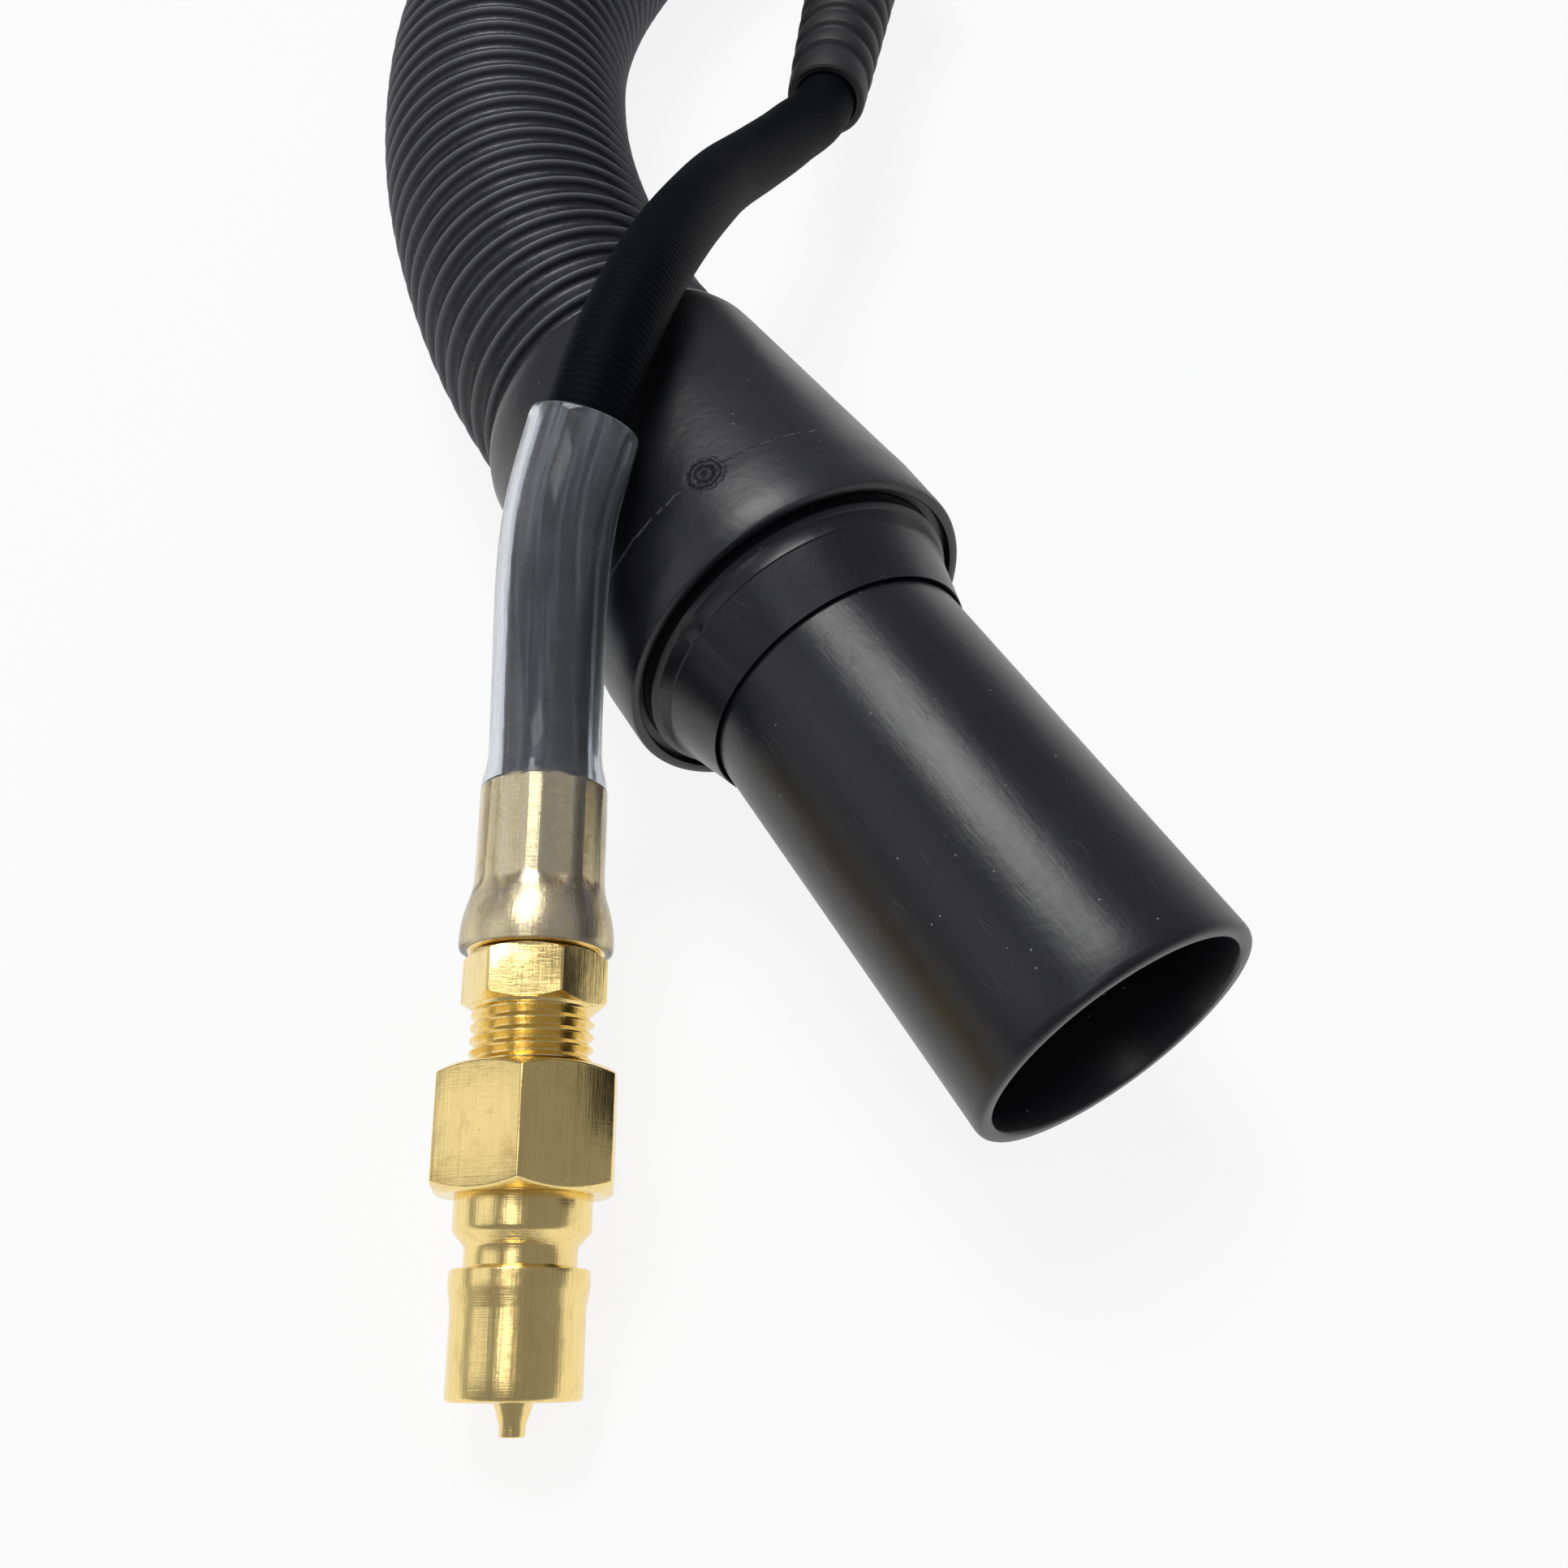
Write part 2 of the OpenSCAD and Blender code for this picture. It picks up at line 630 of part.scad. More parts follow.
module ferrule_shape() {
    front_r = ferrule_front_d / 2;
    crimp_r = crimp_d / 2;
    crimp_from = ferrule_neck + 0.8;
    difference() {
        union() {
            turned_shape([
                [0, ferrule_front], [front_r - 0.8, ferrule_front], [front_r - 0.2, ferrule_front + 0.5],
                [front_r, ferrule_front + 1.2], [front_r - 0.15, ferrule_front + 3],
                [front_r - 0.6, ferrule_front + 5], [crimp_r, ferrule_neck], [crimp_r, crimp_from], [0, crimp_from]
            ]);
            intersection() {
                translate([0, 0, crimp_from - eps]) cylinder(r = crimp_r, h = ferrule_back - crimp_from);
                rotate([0, 0, 22.5])
                    cylinder(r = crimp_flats / 2 / cos(22.5), h = ferrule_back, $fn = 8);
            }
        }
        translate([0, 0, ferrule_front + 1.2]) cylinder(r = ferrule_hole_r, h = ferrule_length);
        cylinder(r = spigot_r + 0.2 + seat_gap, h = ferrule_back);
    }
}

// Valve parts, measured from the wall that each closes
module poppet_shape() {
    turned_shape([
        [0, -front_wall - valve_tip], [1.35, -front_wall - valve_tip], [1.35, -front_wall - 2.2],
        [2.1, -front_wall - 0.2], [2.1, valve_head_back - valve_head],
        [valve_head_r, valve_head_back - valve_head], [valve_head_r, valve_head_back],
        [guide_r, valve_head_back], [guide_r, guide_back], [0, guide_back]
    ]);
}
module valve_seal_shape() {
    tube_shape(valve_head_r - 0.1, 2.1 + seat_gap, seat_gap, seat_gap + valve_seal);
}
module valve_spring_shape() {
    translate([0, 0, valve_head_back + seat_gap])
        spring(retainer_front - valve_head_back - 2 * seat_gap, spring_r, spring_wire, 6);
}
module retainer_shape(r) {
    difference() {
        translate([0, 0, retainer_front]) cylinder(r = r, h = retainer_thick);
        translate([0, 0, retainer_front - 1]) cylinder(r = guide_r + seat_gap, h = retainer_thick + 2);
        for (k = [0 : 3])
            rotate([0, 0, 45 + 90 * k])
                translate([3, 0, retainer_front - 1]) cylinder(r = 0.8, h = retainer_thick + 2, $fn = 24);
    }
}

// One module per node
module swivel_tube() {
    color(black) lay([0, 0, 0], 0) swivel_tube_shape();
}
module cuff_ring() {
    color(black) lay([0, 0, 0], 0) cuff_ring_shape();
}
module swivel_seal() {
    color(rubber) lay([0, 0, 0], 0) swivel_seal_shape();
}
module cuff_bell() {
    color(black) lay([0, 0, 0], 0) cuff_bell_shape();
}
module vacuum_hose() {
    halves = 2 * round(run_length / rib_pitch);
    color(black)
        pipe(
            even_points(run_path, 0, run_length, halves), [hose_r, hose_r - rib_depth],
            even_points(run_path, 0, run_length, 14), hose_bore / 2, 8
        );
}
module tool_wye() {
    color(black)
        at_tool_wye()
            difference() {
                union() {
                    back = wye_outer + coil_seat;
                    front = wye_inner + wye_seat + hose_r;
                    turned_shape([
                        [0, -back], [wye_r - 0.8, -back], [wye_r, 0.8 - back],
                        [wye_r, front - 0.8], [wye_r - 0.8, front], [0, front]
                    ]);
                    branch_tube(tool_branch_angle, tool_branch);
                }
                translate([0, 0, wye_inner]) cylinder(r = pocket_r, h = wye_seat + hose_d);
                translate([0, 0, -wye_outer - hose_d]) cylinder(r = pocket_r, h = hose_d);
                translate([0, 0, -wye_outer - 1]) cylinder(r = wye_bore_r, h = wye_inner + wye_outer + 2);
                branch_bore(tool_branch_angle, tool_branch);
            }
}
module tool_nut() {
    color(black) at_tool_wye() rotate([0, tool_branch_angle, 0]) gland_nut_shape(tool_branch);
}
module tool_boot() {
    color(rubber) at_tool_wye() rotate([0, tool_branch_angle, 0]) boot_shape(tool_branch);
}
module solution_hose() {
    color(rubber) pipe(line_path, [line_r], line_path, line_bore / 2, 10);
}
module clear_sleeve() {
    color(clear) {
        at_plug()
            translate([0, 0, stem_at])
                turned_shape([
                    [sleeve_front_r - 0.4, ferrule_front + 0.2], [sleeve_front_r + 0.4, ferrule_front + 0.2],
                    [sleeve_front_r + 0.7, ferrule_front + 1], [sleeve_front_r + 0.6, ferrule_front + 3.2],
                    [sleeve_front_r + 0.2, ferrule_front + 5.2], [sleeve_crimp_r + 0.8, ferrule_neck + 0.2],
                    [sleeve_crimp_r + 0.8, ferrule_back],
                    [sleeve_r, ferrule_back + 2], [sleeve_in_r, ferrule_back + 2],
                    [sleeve_in_r, ferrule_back + 1], [sleeve_crimp_r, ferrule_back + 0.3],
                    [sleeve_crimp_r, ferrule_neck + 0.1], [sleeve_front_r - 0.5, ferrule_front + 5.1],
                    [sleeve_front_r, ferrule_front + 3.1], [sleeve_front_r, ferrule_front + 0.8]
                ]);
        covered = ferrule_back - line_front;
        rest = even_points(sleeve_points, covered + 1.5, sleeve_length, 12);
        pipe(rest, [sleeve_r], rest, sleeve_in_r / cos(15), 12);
    }
}
module crimp_ferrule() {
    color(brass) at_plug() translate([0, 0, stem_at]) ferrule_shape();
}
module hose_stem() {
    color(brass) at_plug() translate([0, 0, stem_at]) hose_stem_shape();
}
module plug_body() {
    color(brass)
        at_plug()
            difference() {
                union() {
                    turned_shape([
                        [0, 0], [nose_r - 0.4, 0], [nose_r, 0.4], [nose_r, nose_length],
                        [taper_r, nose_length + 2.2], [taper_r, groove_front], [groove_d / 2, groove_front + 0.3],
                        [groove_d / 2, groove_back], [collar_r, groove_back + 1.55], [collar_r, hex_front],
                        [0, hex_front]
                    ]);
                    translate([0, 0, hex_front - eps])
                        rotate([0, 0, 30 + hex_roll])
                            hexagon(plug_flats, plug_hex, 1.1);
                }
                translate([0, 0, -1]) cylinder(r = tip_hole_r, h = front_wall + 2);
                translate([0, 0, front_wall]) cylinder(r = chamber_r, h = hex_back);
                translate([0, 0, socket_front]) cylinder(r = pipe_hole_r, h = hex_back);
            }
}
module plug_poppet() {
    color(brass) at_plug() translate([0, 0, front_wall]) poppet_shape();
}
module plug_seal() {
    color(rubber) at_plug() translate([0, 0, front_wall]) valve_seal_shape();
}
module plug_spring() {
    color(steel) at_plug() translate([0, 0, front_wall]) valve_spring_shape();
}
module plug_retainer() {
    color(brass) at_plug() translate([0, 0, front_wall]) retainer_shape(chamber_r - seat_gap);
}
module hose_coil() {
    echo(coil_gap = least_gap(coil_path, 12, hose_d));
    color(black) bar(coil_path, hose_r, 6);
}
module coil_ties() {
    in_r = hose_r + hose_gap;
    module stadium(r) {
        circle(r);
        translate([-r, 0]) square([2 * r, layer_step]);
        translate([0, layer_step]) circle(r);
    }
    color(rubber)
        for (turn = tie_turns)
            translate(coil_middle)
                rotate([0, 0, turn - run_heading])
                    translate([coil_radius * cos(ring_step / 2), 0, 0])
                        rotate([90, 0, 0])
                            linear_extrude(height = strap_width, center = true)
                                difference() {
                                    stadium(in_r + strap_thick);
                                    stadium(in_r);
                                }
}
module machine_wye() {
    body_back = wye_to_mouth + wye_outer + coil_seat;
    color(black)
        at_machine()
            difference() {
                union() {
                    turned_shape([
                        [0, bell_front], [bell_r - 0.4, bell_front], [bell_r, bell_front + 0.4],
                        [bell_r, bell_front + rim_length], [wye_r, web_back + 16],
                        [wye_r, body_back - 0.8], [wye_r - 0.8, body_back], [0, body_back]
                    ]);
                    translate([0, 0, wye_to_mouth])
                        rotate([0, machine_branch_angle - 180, 0])
                            cylinder(r = branch_r, h = machine_branch);
                }
                bell_cavity();
                translate([0, 0, web_back - eps])
                    cylinder(r = wye_bore_r, h = wye_to_mouth + wye_outer - web_back + 1);
                translate([0, 0, wye_to_mouth + wye_outer]) cylinder(r = pocket_r, h = coil_seat + 2);
                translate([0, 0, wye_to_mouth]) branch_bore(machine_branch_angle - 180, machine_branch);
            }
}
module machine_ring() {
    color(black) at_machine() cuff_ring_shape();
}
module machine_seal() {
    color(rubber) at_machine() swivel_seal_shape();
}
module machine_tube() {
    color(black) at_machine() swivel_tube_shape();
}
module on_machine_branch() {
    at_machine() translate([0, 0, wye_to_mouth]) rotate([0, machine_branch_angle - 180, 0]) children();
}
module machine_nut() {
    color(black) on_machine_branch() gland_nut_shape(machine_branch);
}
module machine_boot() {
    color(rubber) on_machine_branch() boot_shape(machine_branch);
}
module supply_hose() {
    color(rubber) in_machine_frame() pipe(supply_path, [line_r], supply_path, line_bore / 2, 10);
}
module supply_ferrule() {
    color(brass) at_coupler() translate([0, 0, coupler_stem_at]) ferrule_shape();
}
module supply_stem() {
    color(brass) at_coupler() translate([0, 0, coupler_stem_at]) hose_stem_shape();
}
module coupler_adapter() {
    color(brass)
        at_coupler()
            difference() {
                translate([0, 0, adapter_front]) hexagon(adapter_flats, adapter_back - adapter_front, 1);
                translate([0, 0, adapter_front - 1]) cylinder(r = pipe_hole_r, h = spigot_back - adapter_front + 1.2);
                translate([0, 0, adapter_socket]) cylinder(r = pipe_hole_r, h = pipe_in + 2);
                translate([0, 0, adapter_front]) cylinder(r = 3.5, h = adapter_socket - adapter_front + 1);
            }
}
module coupler_body() {
    color(brass)
        at_coupler()
            difference() {
                union() {
                    turned_shape([
                        [0, 0], [coupler_r - 0.5, 0], [coupler_r, 0.5],
                        [coupler_r, land_front - 0.3 - snap_thick - 0.05],
                        [coupler_r - 0.4, land_front - 0.3 - snap_thick - 0.05],
                        [coupler_r - 0.4, land_front - 0.25], [coupler_r, land_front - 0.25],
                        [coupler_r, stop_front], [grip_d / 2 - 1.5, stop_front], [grip_d / 2 - 1.5, stop_back],
                        [0, stop_back]
                    ]);
                    translate([0, 0, stop_back - eps]) cylinder(r = pipe_r, h = spigot_back - stop_back);
                }
                translate([0, 0, -1]) cylinder(r = entry_r, h = entry_depth + 1);
                translate([0, 0, -1]) cylinder(r = mouth_r, h = mouth_depth + 1);
                translate([0, 0, mouth_depth - 1]) cylinder(r = nose_hole_r, h = nose_depth - mouth_depth + 1);
                translate([0, 0, 16]) cylinder(r = nose_hole_r + 2 * o_ring_r - 0.15, h = 2 * o_ring_r + 0.2);
                translate([0, 0, nose_depth - 1]) cylinder(r = tip_hole_r, h = 3);
                translate([0, 0, valve_wall]) cylinder(r = coupler_chamber_r, h = spigot_back);
                for (k = [0 : ball_count - 1])
                    rotate([0, 90, 360 / ball_count * k])
                        translate([-ball_at, 0, mouth_r - 1]) cylinder(r = ball_r + 0.05, h = 4, $fn = 32);
            }
}
module coupler_sleeve() {
    r = grip_d / 2;
    grooves = 4;
    color(steel)
        at_coupler()
            turned_shape(concat(
                [
                    [relief_r, grip_front], [r - 0.8, grip_front], [r, grip_front + 0.8],
                    [r, grip_front + 5]
                ],
                [
                    for (k = [0 : grooves - 1])
                        let (z = grip_front + 5.5 + k * 2.6)
                        each [[r - 0.5, z], [r - 0.5, z + 1.1], [r, z + 1.5], [r, z + 2.2]]
                ],
                [
                    [r, grip_back - 0.8], [r - 0.8, grip_back], [coupler_r + 2.2, grip_back],
                    [coupler_r + 2.2, land_back], [land_r, land_back], [land_r, land_front], [relief_r, land_front]
                ]
            ));
}
module coupler_sleeve_spring() {
    color(steel)
        at_coupler()
            translate([0, 0, land_back + seat_gap])
                spring(stop_front - land_back - 2 * seat_gap, coupler_r + 1.1, 0.9, 6);
}
module coupler_snap_ring() {
    front = land_front - 0.3 - snap_thick;
    color(steel)
        at_coupler()
            difference() {
                tube_shape(relief_r - 0.6, coupler_r - 0.3, front, front + snap_thick);
                translate([0, -1, front - 1]) cube([relief_r, 2, snap_thick + 2]);
            }
}
module coupler_balls() {
    reach = land_r - ball_r - 0.1;
    color(steel)
        at_coupler()
            for (k = [0 : ball_count - 1])
                rotate([0, 0, 360 / ball_count * k])
                    translate([reach, 0, ball_at]) sphere(r = ball_r, $fn = 32);
}
module coupler_o_ring() {
    color(rubber)
        at_coupler()
            rotate_extrude()
                translate([nose_hole_r + o_ring_r - 0.2, 16 + o_ring_r + 0.1]) circle(o_ring_r, $fn = 24);
}
module coupler_poppet() {
    color(brass) at_coupler() translate([0, 0, valve_wall]) poppet_shape();
}
module coupler_poppet_seal() {
    color(rubber) at_coupler() translate([0, 0, valve_wall]) valve_seal_shape();
}
module coupler_poppet_spring() {
    color(steel) at_coupler() translate([0, 0, valve_wall]) valve_spring_shape();
}
module coupler_retainer() {
    color(brass) at_coupler() translate([0, 0, valve_wall]) retainer_shape(coupler_chamber_r - seat_gap);
}

swivel_tube();
cuff_ring();
swivel_seal();
cuff_bell();
vacuum_hose();
tool_wye();
tool_nut();
tool_boot();
solution_hose();
clear_sleeve();
crimp_ferrule();
hose_stem();
plug_body();
plug_poppet();
plug_seal();
plug_spring();
plug_retainer();
hose_coil();
coil_ties();
machine_wye();
machine_ring();
machine_seal();
machine_tube();
machine_nut();
machine_boot();
supply_hose();
supply_ferrule();
supply_stem();
coupler_adapter();
coupler_body();
coupler_sleeve();
coupler_sleeve_spring();
coupler_snap_ring();
coupler_balls();
coupler_o_ring();
coupler_poppet();
coupler_poppet_seal();
coupler_poppet_spring();
coupler_retainer();
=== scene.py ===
import math

import bmesh
import bpy
import numpy as np
from mathutils import Matrix, Vector


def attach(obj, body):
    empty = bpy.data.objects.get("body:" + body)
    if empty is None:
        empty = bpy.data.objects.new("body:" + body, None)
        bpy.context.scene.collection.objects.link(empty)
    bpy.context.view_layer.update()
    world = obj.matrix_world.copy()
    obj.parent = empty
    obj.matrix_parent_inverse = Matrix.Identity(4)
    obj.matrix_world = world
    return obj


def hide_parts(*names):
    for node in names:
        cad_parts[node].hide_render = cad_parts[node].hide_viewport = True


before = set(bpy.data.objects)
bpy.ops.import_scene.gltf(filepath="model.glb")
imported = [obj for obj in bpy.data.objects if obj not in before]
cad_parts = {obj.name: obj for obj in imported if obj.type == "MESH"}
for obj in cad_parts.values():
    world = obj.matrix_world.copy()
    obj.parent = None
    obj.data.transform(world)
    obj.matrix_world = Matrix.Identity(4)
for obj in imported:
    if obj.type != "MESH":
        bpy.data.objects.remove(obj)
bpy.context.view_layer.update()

# Camera. It looks down on the plug and the cuff's mouth from a hand's breadth above them, so near things
# look much larger than far ones.
camera = bpy.data.objects.new("camera", bpy.data.cameras.new("camera"))
bpy.context.scene.collection.objects.link(camera)
camera.data.sensor_width = 36
camera.data.lens = 36 * 1950 / 1932
camera.data.clip_start = 0.005
camera.location = (-0.0687, -0.0458, 0.1526)
camera.rotation_euler = Vector((0.296, 0.495, -0.817)).to_track_quat("-Z", "Y").to_euler()
bpy.context.scene.camera = camera


# Floor and light. The floor is a plain white sheet that keeps soft shadows, with one large soft lamp overhead
# in front of the cuff, a weak one behind it, and a plain grey room.
class Wire:
    """A socket of a finish. Arithmetic on wires and numbers adds Math nodes."""

    def __init__(self, finish, socket):
        self.finish, self.socket = finish, socket

    def maths(self, operation, *values):
        return self.finish.node("Math", {"operation": operation}, dict(enumerate(values)))

    def __add__(self, other):
        return self.maths("ADD", self, other)

    def __sub__(self, other):
        return self.maths("SUBTRACT", self, other)

    def __rsub__(self, other):
        return self.maths("SUBTRACT", other, self)

    def __mul__(self, other):
        return self.maths("MULTIPLY", self, other)

    __radd__, __rmul__ = __add__, __mul__


class Finish:
    """A material of nodes round one Principled surface, in which what varies is made of wires."""

    def __init__(self, name, **uniform):
        self.material = bpy.data.materials.new(name)
        self.material.use_nodes = True
        self.tree = self.material.node_tree
        self.surface = self.tree.nodes["Principled BSDF"]
        for socket, value in uniform.items():
            self.surface.inputs[socket.replace("_", " ")].default_value = value

    def node(self, kind, settings, sockets, output=0):
        """Adds a node: its settings first, then the values or links of its sockets. Returns one output."""
        node = self.tree.nodes.new("ShaderNode" + kind)
        for key, value in settings.items():
            if key == "stops":
                while len(node.color_ramp.elements) < len(value):
                    node.color_ramp.elements.new(0.5)
                for stop, (place, colour) in zip(node.color_ramp.elements, value):
                    stop.position, stop.color = place, (*colour, 1)
            else:
                setattr(node, key, value)
        for key, value in sockets.items():
            if isinstance(value, Wire):
                self.tree.links.new(value.socket, node.inputs[key])
            else:
                node.inputs[key].default_value = value
        return Wire(self, node.outputs[output])

    def own(self):
        """The place on the piece in its own frame, before it was turned or bent to where it lies, in millimetres."""
        return self.node("Attribute", {"attribute_name": "own"}, {}, 1)

    def part(self, place, axis):
        return self.node("SeparateXYZ", {}, {0: place}, axis)

    def stretched(self, place, scale):
        return self.node("Mapping", {}, {"Vector": place, "Scale": scale})

    def noise(self, place, scale, detail=2.0, roughness=0.5):
        return self.node("TexNoise", {}, {"Vector": place, "Scale": scale, "Detail": detail, "Roughness": roughness})

    def cells(self, place, scale, feature="F1"):
        return self.node("TexVoronoi", {"feature": feature}, {"Vector": place, "Scale": scale})

    def step(self, value, low, high, start=0.0, end=1.0):
        """Goes smoothly from start to end as a value goes from low to high."""
        sockets = {0: value, 1: low, 2: high, 3: start, 4: end}
        return self.node("MapRange", {"interpolation_type": "SMOOTHSTEP"}, sockets)

    def tint(self, share, colour, other):
        """A colour, and another one by a share of it."""
        first = colour if isinstance(colour, Wire) else (*colour, 1)
        return self.node("Mix", {"data_type": "RGBA"}, {0: share, 6: first, 7: (*other, 1)}, 2)

    def colour(self, value):
        self.tree.links.new(value.socket, self.surface.inputs["Base Color"])

    def rough(self, value):
        self.tree.links.new(value.socket, self.surface.inputs["Roughness"])

    def relief(self, height, distance, strength=1.0):
        """Raises the surface by a height times a distance in metres."""
        bump = self.node("Bump", {}, {"Height": height, "Distance": distance, "Strength": strength})
        self.tree.links.new(bump.socket, self.surface.inputs["Normal"])


def seen_by_eye(finish):
    """1 for what the camera sees, straight, in a mirror or through glass."""
    rays = [finish.node("LightPath", {}, {}, name) for name in ("Is Camera Ray", "Is Glossy Ray", "Is Transmission Ray")]
    return rays[0].maths("MAXIMUM", rays[0], rays[1].maths("MAXIMUM", rays[1], rays[2]))


floor_z = -24.0
sheet = bmesh.new()
bmesh.ops.create_grid(sheet, x_segments=1, y_segments=1, size=30, matrix=Matrix.Translation((0, 0, floor_z / 1000)))
floor = bpy.data.objects.new("floor", bpy.data.meshes.new("floor"))
sheet.to_mesh(floor.data)
bpy.context.scene.collection.objects.link(floor)
white = Finish("floor", Roughness=0.9)
white.surface.inputs["Specular IOR Level"].default_value = 0.1
mottle = white.noise(white.node("TexCoord", {}, {}, "Object"), 3.0)
white.colour(white.tint(mottle, (0.86, 0.86, 0.86), (0.9, 0.9, 0.9)))
glow = white.node("Emission", {}, {"Color": (1, 1, 1, 1), "Strength": 1.0})
lit = Wire(white, white.surface.outputs[0])
surface = white.node("MixShader", {}, {0: seen_by_eye(white) * 0.88, 1: lit, 2: glow})
white.tree.links.new(surface.socket, white.tree.nodes["Material Output"].inputs["Surface"])
floor.data.materials.append(white.material)

room = bpy.data.worlds.new("room")
room.use_nodes = True
bpy.context.scene.world = room
air = Finish("air")
air.tree = room.node_tree
aim = air.part(air.node("TexCoord", {}, {}, "Generated"), 2)
shade = air.node(
    "ValToRGB",
    {"stops": [(0.0, (1, 1, 1)), (0.44, (0.95, 0.95, 0.95)), (0.56, (0.32, 0.32, 0.34)), (1.0, (0.26, 0.26, 0.28))]},
    {0: air.step(aim, -1.0, 1.0)},
)
plain = air.tint(air.node("LightPath", {}, {}, "Is Camera Ray"), shade, (1, 1, 1))
air.tree.links.new(plain.socket, room.node_tree.nodes["Background"].inputs["Color"])
room.node_tree.nodes["Background"].inputs["Strength"].default_value = 1.0
bpy.data.materials.remove(air.material)


def soft_lamp(name, at, aim_at, size, power):
    lamp = bpy.data.objects.new(name, bpy.data.lights.new(name, "AREA"))
    lamp.data.shape = "RECTANGLE"
    lamp.data.size, lamp.data.size_y = size
    lamp.data.energy = power
    lamp.location = at
    lamp.rotation_euler = (Vector(aim_at) - Vector(at)).to_track_quat("-Z", "Y").to_euler()
    bpy.context.scene.collection.objects.link(lamp)


soft_lamp("window", (0.06, 0.62, 1.15), (0, 0.1, 0), (0.62, 0.5), 8.6)
soft_lamp("side", (-0.95, 0.58, 0.68), (-0.06, 0.03, 0), (0.8, 0.8), 1.35)
soft_lamp("top", (-0.34, -0.1, 0.96), (-0.06, 0.03, 0), (0.42, 0.3), 0.75)
bpy.context.scene.view_settings.view_transform = "Standard"


# Vacuum hose at the tool end: a black wire-ribbed plastic hose of 40 mm, from the bell in a loose bend to the
# wye. Its ribs are thin, with broad dark grooves between them, and a painted highlight makes their tops paler.
def spline(points, steps=8):
    """A smooth curve through points."""
    p = np.array(points, float)
    p = np.vstack([2 * p[0] - p[1], p, 2 * p[-1] - p[-2]])
    t = np.arange(steps)[:, None] / steps
    spans = []
    for a, b, c, d in zip(p, p[1:], p[2:], p[3:]):
        cubic = 2 * b + (c - a) * t + (2 * a - 5 * b + 4 * c - d) * t**2 + (3 * b - a - 3 * c + d) * t**3
        spans.append(0.5 * cubic)
    return np.vstack([*spans, p[-2:-1]])


def reach(route):
    """How far along a route each of its points is."""
    return np.concatenate([[0], np.cumsum(np.linalg.norm(np.diff(route, axis=0), axis=1))])


def turned(outline, steps=96, closed=True):
    """A round shape, spun about Z from an outline of (radius, height) in millimetres."""
    shape = bmesh.new()
    points = [shape.verts.new((r, 0, z)) for r, z in outline]
    pairs = list(zip(points, points[1:])) + ([(points[-1], points[0])] if closed else [])
    line = [shape.edges.new(pair) for pair in pairs]
    bmesh.ops.spin(shape, geom=points + line, axis=(0, 0, 1), angle=math.tau, steps=steps, use_merge=True)
    bmesh.ops.remove_doubles(shape, verts=shape.verts, dist=1e-4)
    bmesh.ops.recalc_face_normals(shape, faces=shape.faces)
    return shape


def piece(name, shape, body, finish, place=None, route=None, crease=30, stands_for=()):
    """Makes an object of a shape in millimetres, placed by a matrix or bent along a route."""
    mesh = bpy.data.meshes.new(name)
    shape.to_mesh(mesh)
    shape.free()
    flat = np.empty(len(mesh.vertices) * 3)
    mesh.vertices.foreach_get("co", flat)
    local = flat.reshape(-1, 3)
    mesh.attributes.new("own", "FLOAT_VECTOR", "POINT").data.foreach_set("vector", flat)
    if route is not None:
        far = reach(route)
        ahead = np.gradient(route, far, axis=0)
        ahead = sampled_on(ahead, far, local[:, 2])
        ahead /= np.linalg.norm(ahead, axis=1)[:, None]
        side = np.cross((0, 0, 1), ahead)
        side /= np.linalg.norm(side, axis=1)[:, None]
        up = np.cross(ahead, side)
        ends = local[:, 2] - np.clip(local[:, 2], 0, far[-1])
        middle = sampled_on(route, far, local[:, 2]) + ahead * ends[:, None]
        local = middle + side * local[:, :1] + up * local[:, 1:2]
    mesh.vertices.foreach_set("co", local.ravel())
    mesh.transform(Matrix.Scale(0.001, 4) @ (place or Matrix.Identity(4)))
    mesh.shade_smooth()
    mesh.set_sharp_from_angle(angle=math.radians(crease))
    thing = bpy.data.objects.new(name, mesh)
    mesh.materials.append(finish.material)
    bpy.context.scene.collection.objects.link(thing)
    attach(thing, body)
    if stands_for:
        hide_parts(*stands_for)
    return thing


def sampled_on(values, far, places):
    return np.stack([np.interp(places, far, values[:, axis]) for axis in range(3)], axis=1)


def heading(degrees, length=1.0):
    """A stretch over the floor along a heading, counted clockwise from +Y."""
    return np.array([math.sin(math.radians(degrees)), math.cos(math.radians(degrees)), 0]) * length


hose_d, hose_pitch, groove_depth = 40.0, 4.5, 1.4
hose_front = 72.4
run_end = np.array([128, 280, -2.0])
run_route = spline([
    (0, hose_front, 0), (0, 92, 0), (0, 112, 0), (1, 132, -0.5), (4.5, 151.5, -1), (10, 171, -1.5),
    (17.5, 189.5, -2), (27, 207, -2), (39, 223, -2), (53.5, 237.5, -2), (71.5, 251.5, -2),
    run_end - heading(65, 40), run_end - heading(65, 20), run_end,
])


def ribbed(length, outline, steps, bore_steps):
    """A ribbed hose along Z: the outline of one rib, as (share of the pitch, share of the groove's depth)."""
    ribs = round(length / hose_pitch)
    pitch = length / ribs
    outside = [
        (hose_d / 2 - groove_depth * depth, (rib + share) * pitch)
        for rib in range(ribs) for share, depth in outline
    ]
    inside = [(16.5, z) for z in np.linspace(length, 0, bore_steps)]
    return turned(outside + [(hose_d / 2 - groove_depth, length)] + inside, steps)


